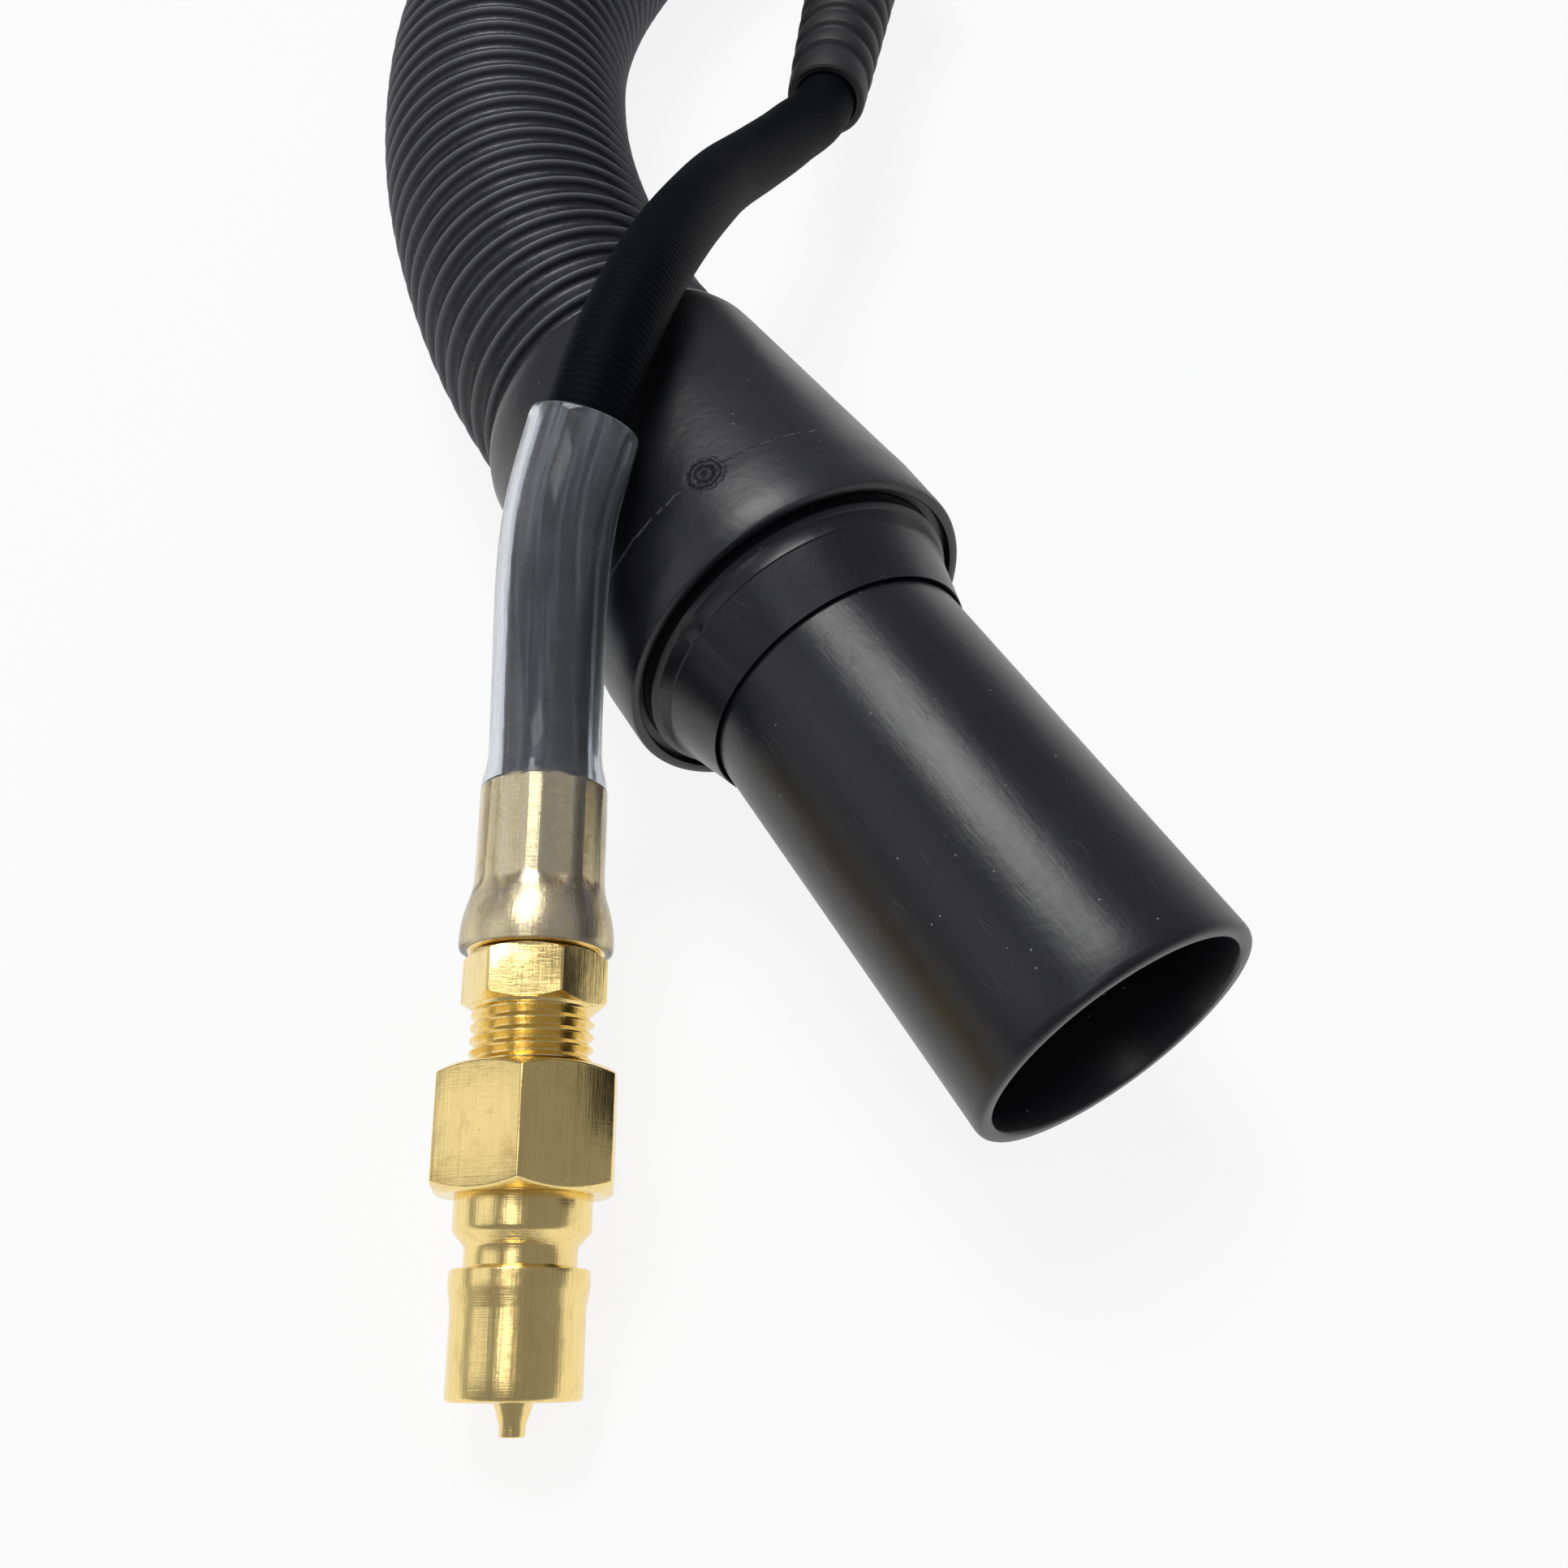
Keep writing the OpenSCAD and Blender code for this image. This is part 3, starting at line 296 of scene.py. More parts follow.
hose_plastic = Finish("ribbed_plastic", Roughness=0.4)
place = hose_plastic.own()
x, y = hose_plastic.part(place, 0), hose_plastic.part(place, 1)
radius = (x * x + y * y).maths("SQRT", x * x + y * y)
crest_and_painted_highlight = hose_plastic.step(radius, hose_d / 2 - 0.85, hose_d / 2 - 0.05)
dust = hose_plastic.noise(place, 0.06, 4.0, 0.6)
streaks = hose_plastic.noise(hose_plastic.stretched(place, (1.0, 1.0, 0.05)), 0.5, 3.0)
# Painted highlight: the base colour rises from the hose's black in the grooves to a pale grey on the rib crests.
base = hose_plastic.tint(crest_and_painted_highlight, (0.012, 0.0125, 0.0145), (0.13, 0.131, 0.138))
base = hose_plastic.tint(hose_plastic.step(dust, 0.5, 0.85) * 0.25, base, (0.07, 0.07, 0.072))
hose_plastic.colour(base)
hose_plastic.rough(0.34 + hose_plastic.step(streaks, 0.3, 0.8) * 0.16 + crest_and_painted_highlight * 0.05)
hose_plastic.relief(hose_plastic.noise(place, 1.4, 4.0), 0.00012, 0.6)

run_length = reach(run_route)[-1]
rib_outline = [
    (0.0, 0.9), (0.14, 0.97), (0.28, 1.0), (0.4, 0.92), (0.46, 0.66), (0.5, 0.3), (0.54, 0.06),
    (0.58, 0.0), (0.62, 0.06), (0.66, 0.3), (0.71, 0.62), (0.8, 0.8), (0.9, 0.86),
]
vacuum_run = piece(
    "vacuum_hose_run", ribbed(run_length, rib_outline, 72, 40), "set", hose_plastic,
    route=run_route, crease=60, stands_for=["vacuum_hose"],
)

# Coil: the rest of the hose, wound in a round coil of two layers on the floor, as it is put away, until the
# wye of the machine end. It climbs on its own first turn just before that turn closes.
set_length, coil_radius, layer_step = 3048.0, 235.0, 42.2
wye_inner, wye_outer, wye_to_mouth = 54.942, 22.0, 125.0
tool_wye_at = run_end + heading(65, wye_inner)
coil_entry = tool_wye_at + heading(65, wye_outer + hose_d)
coil_middle = coil_entry + coil_radius * np.array([-math.cos(math.radians(65)), math.sin(math.radians(65)), 0])
straights = hose_front + wye_inner + 2 * (wye_outer + hose_d) + wye_to_mouth
coil_turn = math.degrees((set_length - run_length - straights) / coil_radius)


def coil_point(turn):
    climb = min(1, max(0, (turn - coil_turn + 332) / (352 - coil_turn + 332)))
    rise = layer_step * climb * climb * (3 - 2 * climb)
    angle = math.radians(turn - 65)
    return coil_middle + (coil_radius * math.cos(angle), coil_radius * math.sin(angle), rise)


machine_heading = 65 - coil_turn
machine_arc_end = coil_point(coil_turn)
machine_wye_at = machine_arc_end + heading(machine_heading, wye_outer + hose_d)
machine_mouth = machine_wye_at + heading(machine_heading, wye_to_mouth)
coil_route = np.array([
    *(tool_wye_at + heading(65, wye_outer + 0.1 + s) for s in np.linspace(0, hose_d - 0.1, 6)[:-1]),
    *(coil_point(turn) for turn in np.linspace(0, coil_turn, 260)),
    *(machine_arc_end + heading(machine_heading, s) for s in np.linspace(0, hose_d - 0.1, 6)[1:]),
])
coil_length = reach(coil_route)[-1]
coil_outline = [(0.0, 0.9), (0.26, 1.0), (0.44, 0.65), (0.54, 0.0), (0.65, 0.55)]
coil_run = piece(
    "coiled_hose", ribbed(coil_length, coil_outline, 28, 130), "set", hose_plastic,
    route=coil_route, crease=70, stands_for=["hose_coil"],
)


# Solution line: a 10 mm rubber hose with a wrapped cover, from the crimped ferrule behind the plug up over
# itself in one low hump and down into the strain relief of the wye.
def along(at, towards, rise=0.0):
    """Places a piece turned about Z: at a point, pointing along a heading over the floor, lifted by a rise."""
    turn = Matrix.Rotation(-math.radians(towards), 4, "Z") @ Matrix.Rotation(math.radians(rise - 90), 4, "X")
    return Matrix.Translation(at) @ turn


plug_heading, plug_rise, nose_r = 30.6, 15.0, 7.1
plug_at = np.array([-71.05, 4.5, floor_z + nose_r * math.cos(math.radians(plug_rise))])
plug_axis = heading(plug_heading) * math.cos(math.radians(plug_rise)) + (0, 0, math.sin(math.radians(plug_rise)))
stem_at, stem_hex = 40.9, 6.1
ferrule_front = stem_hex + 0.1
ferrule_back = ferrule_front + 20
line_front = ferrule_front + 1.3
line_d = 10.0
tool_roll = math.radians(2)
tool_side = np.array([math.cos(math.radians(65)), -math.sin(math.radians(65)), 0]) * math.cos(tool_roll)
tool_side = tool_side + (0, 0, math.sin(tool_roll))
tool_lean = math.radians(26)
tool_branch_dir = heading(65, -math.cos(tool_lean)) + tool_side * math.sin(tool_lean)
line_route = spline([
    *(plug_at + plug_axis * (stem_at + s) for s in (line_front, 16.8, ferrule_back)),
    (-32.2, 69.7, 6.4), (-25, 79.2, 17.7), (-17.9, 85.8, 24.3), (-9.5, 93.8, 28.3), (0, 103.1, 28.8),
    (9.9, 113.8, 25.4), (19.6, 124.6, 20.3), (29, 134.8, 14.8), (40, 144.5, 9), (52, 154, 4),
    *(tool_wye_at + tool_branch_dir * (179.5 - s) for s in (0, 28, 56, 84, 112, 140)),
    tool_wye_at + tool_branch_dir * 11, tool_wye_at + heading(65, 11), tool_wye_at + heading(65, 21),
])


def wrapped(length):
    """The line's own tube, closed at both ends by its wall."""
    outside = [(line_d / 2, z) for z in np.linspace(0, length, int(length / 2.5))]
    inside = [(2.4, z) for z in np.linspace(length, 0, int(length / 8))]
    return turned(outside + inside, 48)


line_rubber = Finish("wrapped_rubber", Roughness=0.6, Specular_IOR_Level=0.04)
place = line_rubber.own()
weave = line_rubber.node(
    "TexWave", {"bands_direction": "Z"},
    {"Vector": place, "Scale": 0.36, "Distortion": 1.1, "Detail": 2.0, "Detail Scale": 1.4}, 1,
)
grain = line_rubber.noise(line_rubber.stretched(place, (1.0, 1.0, 0.5)), 2.6, 4.0, 0.65)
scuff = line_rubber.step(line_rubber.noise(place, 0.35, 5.0, 0.7), 0.55, 0.8)
line_rubber.colour(line_rubber.tint(scuff * 0.1 + weave * 0.06, (0.0022, 0.0027, 0.004), (0.03, 0.031, 0.036)))
line_rubber.rough(0.48 + grain * 0.2)
line_rubber.relief(weave * 0.5 + grain * 0.5, 0.0001, 0.8)

line_length = reach(line_route)[-1]
solution_line = piece(
    "solution_line", wrapped(line_length), "set", line_rubber, route=line_route, crease=60,
    stands_for=["solution_hose"],
)

# Supply line: the other end of the solution line, out of the machine end's wye and down to the floor, where it
# ends in the coupler.
machine_turn = Matrix.Rotation(-math.radians(machine_heading), 3, "Z")
machine_z = machine_wye_at[2]
supply_end = np.array([88, 279, -11.45])
bend_r = (wye_outer - 1) / math.tan(math.radians(27.5))
branch_way = heading(55)
supply_shape = spline([
    *((bend_r * (1 - math.cos(math.radians(a))), bend_r * math.sin(math.radians(a)) - wye_outer + 1, machine_z)
      for a in (0, 55 / 3, 110 / 3, 55)),
    *(branch_way * s + (0, 0, machine_z) for s in (45, 68, 91, 115)),
    (106.5, 76, machine_z), (117.5, 90, machine_z), (124.5, 106.5, machine_z), (127, 124.5, machine_z),
    (125, 142, 40), (120.5, 159.5, 35.5), (116, 177, 27), (111, 194.5, 17), (106.5, 211.5, 6),
    (102, 229, -4), (97.7, 244, -10), supply_end - heading(-15, 21), supply_end,
])


def in_machine_frame(points):
    return points @ np.array(machine_turn).T + (machine_wye_at[0], machine_wye_at[1], 0)


supply_route = in_machine_frame(supply_shape)
supply_length = reach(supply_route)[-1]
supply_line = piece(
    "supply_line", wrapped(supply_length), "set", line_rubber, route=supply_route, crease=60,
    stands_for=["supply_hose"],
)


# Swivel tube at both ends: black moulded plastic, 36 mm across, with a rounded mouth, a slight draft and a
# bare raised pad, held in its ring by a flange so that it turns.
moulded = Finish("moulded_plastic", Roughness=0.3, Specular_IOR_Level=0.42)
place = moulded.own()
specks = moulded.step(moulded.cells(place, 0.42), 0.045, 0.07, 1.0, 0.0)
rare = moulded.step(moulded.noise(place, 0.21, 2.0), 0.44, 0.52)
scratch = moulded.cells(moulded.stretched(place, (1.0, 1.0, 0.16)), 0.9, "DISTANCE_TO_EDGE")
scratches = moulded.step(scratch, 0.004, 0.012, 1.0, 0.0) * moulded.step(moulded.noise(place, 0.12, 3.0), 0.58, 0.7)
cloud = moulded.noise(place, 0.045, 4.0, 0.55)
brushed = moulded.noise(moulded.stretched(place, (1.0, 1.0, 0.12)), 2.4, 4.0, 0.65)
black = moulded.tint(moulded.step(cloud, 0.35, 0.75), (0.0075, 0.0078, 0.0094), (0.013, 0.0133, 0.0155))
black = moulded.tint(specks * rare * 0.7 + scratches * 0.1, black, (0.26, 0.26, 0.27))
moulded.colour(black)
moulded.rough(0.24 + moulded.step(cloud, 0.3, 0.8) * 0.08 + brushed * 0.12)
moulded.relief(moulded.noise(place, 0.9, 3.0) * 0.4 + brushed * 0.3 + moulded.noise(place, 0.05, 2.0) * 3.0
               - scratches * 0.25 + specks * rare * 0.6, 0.00006)


def eased(shape, width, segments=2, angle=28):
    """Rounds every edge that is sharper than an angle."""
    sharp = [e for e in shape.edges if len(e.link_faces) == 2 and e.calc_face_angle(0) > math.radians(angle)]
    bmesh.ops.bevel(shape, geom=sharp, offset=width, segments=segments, profile=0.5, affect="EDGES",
                    clamp_overlap=True, material=-1)
    return shape


def joined(*shapes):
    """Several shapes as one."""
    whole = bmesh.new()
    for shape in shapes:
        mesh = bpy.data.meshes.new("part")
        shape.to_mesh(mesh)
        shape.free()
        whole.from_mesh(mesh)
        bpy.data.meshes.remove(mesh)
    return whole


bore_r, tube_r, shank_r = 16.0, 18.0, 17.5
ring_front, bevel_back = 55.0, 64.0
ring_back, flange_back = 67.5, 69.3
skirt_r, ring_r, bevel_r = 21.5, 17.7, 20.7
bell_front, bell_r, lip_r = 65.0, 24.0, 22.6


def swivel_tube():
    outline = [
        (bore_r, 0.5), (bore_r + 0.12, 0.2), (bore_r + 0.35, 0.03), (bore_r + 0.62, 0.0), (tube_r - 0.72, 0.0),
        (tube_r - 0.42, 0.1), (tube_r - 0.2, 0.32), (tube_r - 0.06, 0.66), (tube_r, 1.1),
        *((tube_r - 0.5 * z / ring_front, z) for z in np.linspace(4, ring_front, 14)),
        (shank_r, ring_back + 0.2), (skirt_r - 1.0, ring_back + 0.2), (skirt_r - 0.9, ring_back + 0.3),
        (skirt_r - 0.9, flange_back), (bore_r, flange_back), *((bore_r, z) for z in np.linspace(60, 6, 8)),
    ]
    tube = turned(outline, 128)
    pad = bmesh.new()
    bmesh.ops.create_grid(pad, x_segments=12, y_segments=12, size=0.5)
    for v in pad.verts:
        turn = math.radians(22) + v.co.y * 8.0 / tube_r
        v.co = ((tube_r - 0.3) * math.cos(turn), (tube_r - 0.3) * math.sin(turn), 39 + v.co.x * 18)
    raised = bmesh.ops.extrude_face_region(pad, geom=pad.faces[:])
    for v in (v for v in raised["geom"] if isinstance(v, bmesh.types.BMVert)):
        grow = 0.75 / math.hypot(v.co.x, v.co.y) + 1
        v.co.x, v.co.y = v.co.x * grow, v.co.y * grow
    bmesh.ops.recalc_face_normals(pad, faces=pad.faces)
    eased(pad, 0.25, 3, 50)
    return joined(tube, pad)


cuff_place = along((0, 0, 0), 0)
machine_place = along(machine_mouth, machine_heading + 180)
piece("cuff_tube", swivel_tube(), "cuff_swivel", moulded, cuff_place, stands_for=["swivel_tube"])
piece("machine_cuff_tube", swivel_tube(), "machine_swivel", moulded, machine_place,
      stands_for=["machine_tube"])


# Ring of each swivel: a bevelled black plastic ring that is pressed into the bell and keeps the tube's flange.
# Its bevel is bare and has a fine step at its outer edge and one small notch.
def cuff_ring():
    outline = [
        (ring_r, ring_front + 0.35), (ring_r + 0.12, ring_front + 0.1), (ring_r + 0.35, ring_front),
        (bevel_r - 0.62, bevel_back - 1.9), (bevel_r - 0.42, bevel_back - 1.75), (bevel_r - 0.36, bevel_back - 1.2),
        (bevel_r - 0.1, bevel_back - 0.4), (bevel_r, bevel_back - 0.1), (bevel_r + 0.1, bevel_back + 0.1),
        (skirt_r - 0.15, bevel_back + 0.35), (skirt_r, bevel_back + 0.55), (skirt_r, ring_back - 0.2),
        (skirt_r - 0.2, ring_back), (ring_r, ring_back),
    ]
    ring = turned(outline, 160)
    for v in ring.verts:
        turn = math.degrees(math.atan2(v.co.y, v.co.x))
        if abs(turn + 141) < 1.6 and bevel_back - 2 < v.co.z < bevel_back + 0.5 and v.co.xy.length > bevel_r - 1:
            v.co.xy *= 0.98
    return ring


piece("cuff_swivel_ring", cuff_ring(), "set", moulded, cuff_place, stands_for=["cuff_ring"])
piece("machine_swivel_ring", cuff_ring(), "set", moulded, machine_place, stands_for=["machine_ring"])

# Bell of the tool end: a black moulded cone with a straight rim, over the end of the hose. It has the mark of
# its sprue and a faint ragged seam round it on both sides of that mark.
web_front, web_back, bell_back = 70.8, 72.3, 112.4
pocket_r = 20.3
bell_outline = [
    (lip_r, bell_front + 0.4), (lip_r + 0.12, bell_front + 0.12), (lip_r + 0.4, bell_front),
    (bell_r - 0.5, bell_front), (bell_r - 0.15, bell_front + 0.15), (bell_r, bell_front + 0.5),
    (bell_r, bell_front + 4), (bell_r, bell_front + 8), (bell_r - 0.06, bell_front + 9),
    *((bell_r - 0.12 - 1.9 * share, bell_front + 9.4 + 33 * share) for share in np.linspace(0.02, 1, 12)),
    (pocket_r + 1.5, bell_back - 2.6), (pocket_r + 1.0, bell_back - 1), (pocket_r + 0.6, bell_back - 0.2),
    (pocket_r + 0.2, bell_back), (pocket_r, bell_back - 0.3),
    *((pocket_r, z) for z in np.linspace(108, web_back, 8)),
    (16.2, web_back), (16.2, web_front), (21.6, web_front), (21.6, bell_front + 1.5), (lip_r, bell_front + 1.4),
]
bell_plastic = Finish("bell_plastic", Roughness=0.36)
place = bell_plastic.own()
z = bell_plastic.part(place, 2)
gate = bell_plastic.node("VectorMath", {"operation": "DISTANCE"}, {0: place, 1: (-6.9, -22.8, 75.6)}, "Value")
torn = bell_plastic.noise(place, 1.5, 5.0, 0.7)
wave = (gate + torn * 1.4) * 3.4
ripple = wave.maths("SINE", wave) * bell_plastic.step(gate + torn * 1.6, 2.6, 3.6, 1.0, 0.0)
wander = bell_plastic.noise(place, 0.5, 6.0, 0.75)
seam_at = (z + wander * 1.2 - 76.2).maths("ABSOLUTE", z + wander * 1.2 - 76.2)
seam_end = bell_plastic.step(gate, 14, 21, 1.0, 0.0) * bell_plastic.step(bell_plastic.noise(place, 1.1, 3.0), 0.42, 0.52)
seam = bell_plastic.step(seam_at, 0.05, 0.2, 1.0, 0.0) * seam_end * bell_plastic.step(gate, 2.2, 3.0)
flash = bell_plastic.step(torn, 0.56, 0.66) * bell_plastic.step(gate, 2.4, 3.6, 1.0, 0.0)
cloud = bell_plastic.noise(place, 0.05, 4.0, 0.6)
specks = bell_plastic.step(bell_plastic.cells(place, 0.4), 0.04, 0.06, 1.0, 0.0)
rare = bell_plastic.step(bell_plastic.noise(place, 0.3, 2.0), 0.48, 0.56)
black = bell_plastic.tint(bell_plastic.step(cloud, 0.35, 0.75), (0.0075, 0.0078, 0.0094), (0.013, 0.0133, 0.0155))
marks = specks * rare * 0.7 + seam * 0.4 + flash * 0.16
bell_plastic.colour(bell_plastic.tint(marks, black, (0.28, 0.28, 0.29)))
bell_plastic.rough(0.31 + bell_plastic.step(cloud, 0.3, 0.8) * 0.12 + seam * 0.2)
bell_plastic.relief(ripple * 0.6 + seam * 1.4 + cloud * 0.5 + bell_plastic.noise(place, 0.9, 3.0) * 0.12, 0.0003)
piece("cuff_bell_cone", turned(bell_outline, 160), "set", bell_plastic, cuff_place,
      stands_for=["cuff_bell"])


# Wyes: black moulded fittings in which the solution line leaves the vacuum hose. A branch of 17 mm stands out
# of a straight body, with a web in the corner at the tool end, and the machine's wye ends in its own bell.
wye_r, branch_r = 21.8, 8.5


def collars(places, r, width, rise):
    """Rings moulded on a round body."""
    return [
        turned([(r - 1, z - width / 2), (r + rise - 0.3, z - width / 2), (r + rise, z - width / 2 + 0.3),
                (r + rise, z + width / 2 - 0.3), (r + rise - 0.3, z + width / 2), (r - 1, z + width / 2)], 96)
        for z in places
    ]


def cut(target, tool, operation):
    """Adds or takes away a shape, exactly."""
    a, b = (bpy.data.objects.new(n, bpy.data.meshes.new(n)) for n in ("target", "tool"))
    for thing, shape in ((a, target), (b, tool)):
        shape.to_mesh(thing.data)
        shape.free()
        bpy.context.scene.collection.objects.link(thing)
    change = a.modifiers.new("cut", "BOOLEAN")
    change.object, change.operation, change.solver = b, operation, "EXACT"
    done = bmesh.new()
    done.from_mesh(a.evaluated_get(bpy.context.evaluated_depsgraph_get()).to_mesh())
    for thing in (a, b):
        mesh = thing.data
        bpy.data.objects.remove(thing)
        bpy.data.meshes.remove(mesh)
    return done


def rod(r, start, end, steps=64, ease=0.0):
    ease = ease or 0.01
    return turned([(0, start), (r - ease, start), (r, start + ease), (r, end - ease), (r - ease, end), (0, end)],
                  steps, closed=False)


def tilted(shape, angle, lift=0.0):
    """Tips a shape about Y, as a branch leans, and moves it up its body."""
    shape.transform(Matrix.Translation((0, 0, lift)) @ Matrix.Rotation(math.radians(angle), 4, "Y"))
    return shape


def web(angle, length):
    """The flat web in the corner between a body and its branch."""
    lean = math.radians(angle)
    corner = min(wye_r / math.tan(lean) + 24, length * math.cos(lean) - 8)
    shape = bmesh.new()
    outline = [(2, 2), (2, wye_r * 2.2), (wye_r - 1, corner),
               ((length - 20) * math.sin(lean), (length - 20) * math.cos(lean))]
    flat = shape.faces.new([shape.verts.new((x, -2.5, z)) for x, z in outline])
    side = bmesh.ops.extrude_face_region(shape, geom=[flat])
    bmesh.ops.translate(shape, verts=[v for v in side["geom"] if isinstance(v, bmesh.types.BMVert)], vec=(0, 5, 0))
    bmesh.ops.recalc_face_normals(shape, faces=shape.faces)
    return shape


tool_back = along(tool_wye_at, 65 + 180) @ Matrix.Rotation(math.radians(182), 4, "Z")
tool_branch = 110.5
tool_body = rod(wye_r, -42, wye_inner + 40, 96, 0.8)
tool_body = cut(tool_body, tilted(rod(branch_r, 0, tool_branch, 64, 0.6), 26), "UNION")
tool_body = cut(tool_body, web(26, tool_branch), "UNION")
for hollow in (
    rod(pocket_r, wye_inner, wye_inner + 60), rod(pocket_r, -60, -22), rod(16.5, -30, 60),
    tilted(rod(5.3, 4, 130), 26),
):
    tool_body = cut(tool_body, hollow, "DIFFERENCE")
for collar in collars((-38, wye_inner + 36), wye_r, 3, 0.6):
    tool_body = joined(tool_body, collar)
tool_wye = piece("tool_wye_body", tool_body, "set", moulded, tool_back, stands_for=["tool_wye"])

wye_outline = [
    (0, bell_front), (bell_r - 0.5, bell_front), (bell_r, bell_front + 0.5), (bell_r, bell_front + 8),
    (wye_r + 0.3, web_back + 15), (wye_r, web_back + 17), (wye_r, wye_to_mouth + 41.2),
    (wye_r - 0.8, wye_to_mouth + 42), (0, wye_to_mouth + 42),
]
machine_body = turned(wye_outline, 96, closed=False)
machine_body = cut(machine_body, tilted(rod(branch_r, 0, 46, 64, 0.6), 55 - 180, wye_to_mouth), "UNION")
for hollow in (
    rod(lip_r, bell_front - 1, bell_front + 1.5), rod(21.6, bell_front, web_front), rod(16.2, web_front - 1, 80),
    rod(16.5, web_back, 150), rod(pocket_r, wye_to_mouth + 22, wye_to_mouth + 50),
    tilted(rod(5.3, 4, 60), 55 - 180, wye_to_mouth),
):
    machine_body = cut(machine_body, hollow, "DIFFERENCE")
for collar in collars((wye_to_mouth + 38,), wye_r, 3, 0.6):
    machine_body = joined(machine_body, collar)
machine_wye = piece("machine_wye_body", machine_body, "set", moulded, machine_place,
                    stands_for=["machine_wye"])
tuple((tool_wye_at + heading(65, wye_outer + 20)) / 1000)


# Gland nuts: six-sided black nuts that hold the strain reliefs on the branches.
def hexagon(flats, start, end, chamfer):
    """A six-sided bar whose corners are turned off at both ends."""
    r = flats / 2 / math.cos(math.radians(30))
    bar = bmesh.new()
    bmesh.ops.create_cone(bar, cap_ends=True, segments=6, radius1=r, radius2=r, depth=end - start)
    bmesh.ops.transform(bar, verts=bar.verts, matrix=Matrix.Translation((0, 0, (start + end) / 2))
                        @ Matrix.Rotation(math.radians(30), 4, "Z"))
    upright = [e for e in bar.edges if abs(e.verts[0].co.z - e.verts[1].co.z) > 1]
    bmesh.ops.bevel(bar, geom=upright, offset=0.25, segments=3, profile=0.5, affect="EDGES", material=-1)
    cone = turned([(0, start), (r - chamfer * 1.7, start), (r + 0.01, start + chamfer), (r + 0.01, end - chamfer),
                   (r - chamfer * 1.7, end), (0, end)], 96, closed=False)
    return cut(bar, cone, "INTERSECT")


def gland_nut(length):
    nut = hexagon(22.0, length - 10, length + 6, 1.0)
    nut = cut(nut, rod(branch_r + 0.1, length - 20, length + 0.1), "DIFFERENCE")
    return eased(cut(nut, rod(7.4, length - 2, length + 10), "DIFFERENCE"), 0.2)


on_tool_branch = tool_back @ Matrix.Rotation(tool_lean, 4, "Y")
on_machine_branch = machine_place @ Matrix.Translation((0, 0, wye_to_mouth)) @ Matrix.Rotation(math.radians(55 - 180), 4, "Y")
piece("tool_gland_nut", gland_nut(tool_branch), "set", moulded, on_tool_branch, stands_for=["tool_nut"])
piece("machine_gland_nut", gland_nut(46), "set", moulded, on_machine_branch, stands_for=["machine_nut"])

# Strain reliefs: tapered rubber sleeves of 58 mm with nine soft ribs, in the mouths of the branches.
boot_rubber = Finish("boot_rubber", Roughness=0.55)
place = boot_rubber.own()
bloom = boot_rubber.noise(place, 0.14, 4.0, 0.6)
boot_rubber.colour(boot_rubber.tint(boot_rubber.step(bloom, 0.4, 0.8), (0.011, 0.011, 0.012), (0.03, 0.03, 0.031)))
boot_rubber.rough(0.48 + bloom * 0.2)
boot_rubber.relief(boot_rubber.noise(place, 2.2, 3.0), 0.0001, 0.6)


def boot(length):
    start, tip = length + 6.1, length + 6 + 5 + 58
    base_r, tip_r = 9.1, 6.6
    gap = (tip - start - 12) / 9

    def taper(z):
        return base_r + (tip_r - base_r) * (z - start) / (tip - start)

    outline = [(7.3, length + 0.2), (7.3, start), (base_r + 0.3, start), (base_r + 0.6, start + 0.3),
               (base_r + 0.6, start + 4.6), (base_r + 0.3, start + 5)]
    for rib in range(9):
        z = start + 6 + rib * gap
        outline += [(taper(z) - d, z + s * gap) for s, d in
                    ((0.0, 0.9), (0.1, 0.3), (0.2, 0.03), (0.42, 0.0), (0.6, 0.05), (0.72, 0.3), (0.8, 0.9))]
    outline += [(taper(tip - 4), tip - 4), (tip_r, tip - 1), (tip_r - 0.15, tip - 0.3), (tip_r - 0.5, tip),
                (5.3, tip), (5.3, length + 0.2)]
    return turned(outline, 72)


piece("tool_strain_relief", boot(tool_branch), "set", boot_rubber, on_tool_branch, stands_for=["tool_boot"])
piece("machine_strain_relief", boot(46), "set", boot_rubber, on_machine_branch, stands_for=["machine_boot"])


# Ties: hook-and-loop straps of 25 mm round both layers of the coil, each with its loose end lapped over.
webbing = Finish("webbing", Roughness=0.8, Sheen_Weight=0.35)
place = webbing.own()
loops = webbing.noise(place, 2.4, 5.0, 0.7)
threads = webbing.node("TexWave", {"bands_direction": "Z"}, {"Vector": place, "Scale": 0.5, "Distortion": 2.0}, 1)
webbing.colour(webbing.tint(webbing.step(loops, 0.35, 0.8), (0.012, 0.012, 0.013), (0.05, 0.05, 0.052)))
webbing.rough(0.75 + loops * 0.2)
webbing.relief(loops * 0.7 + threads * 0.3, 0.0006, 0.9)


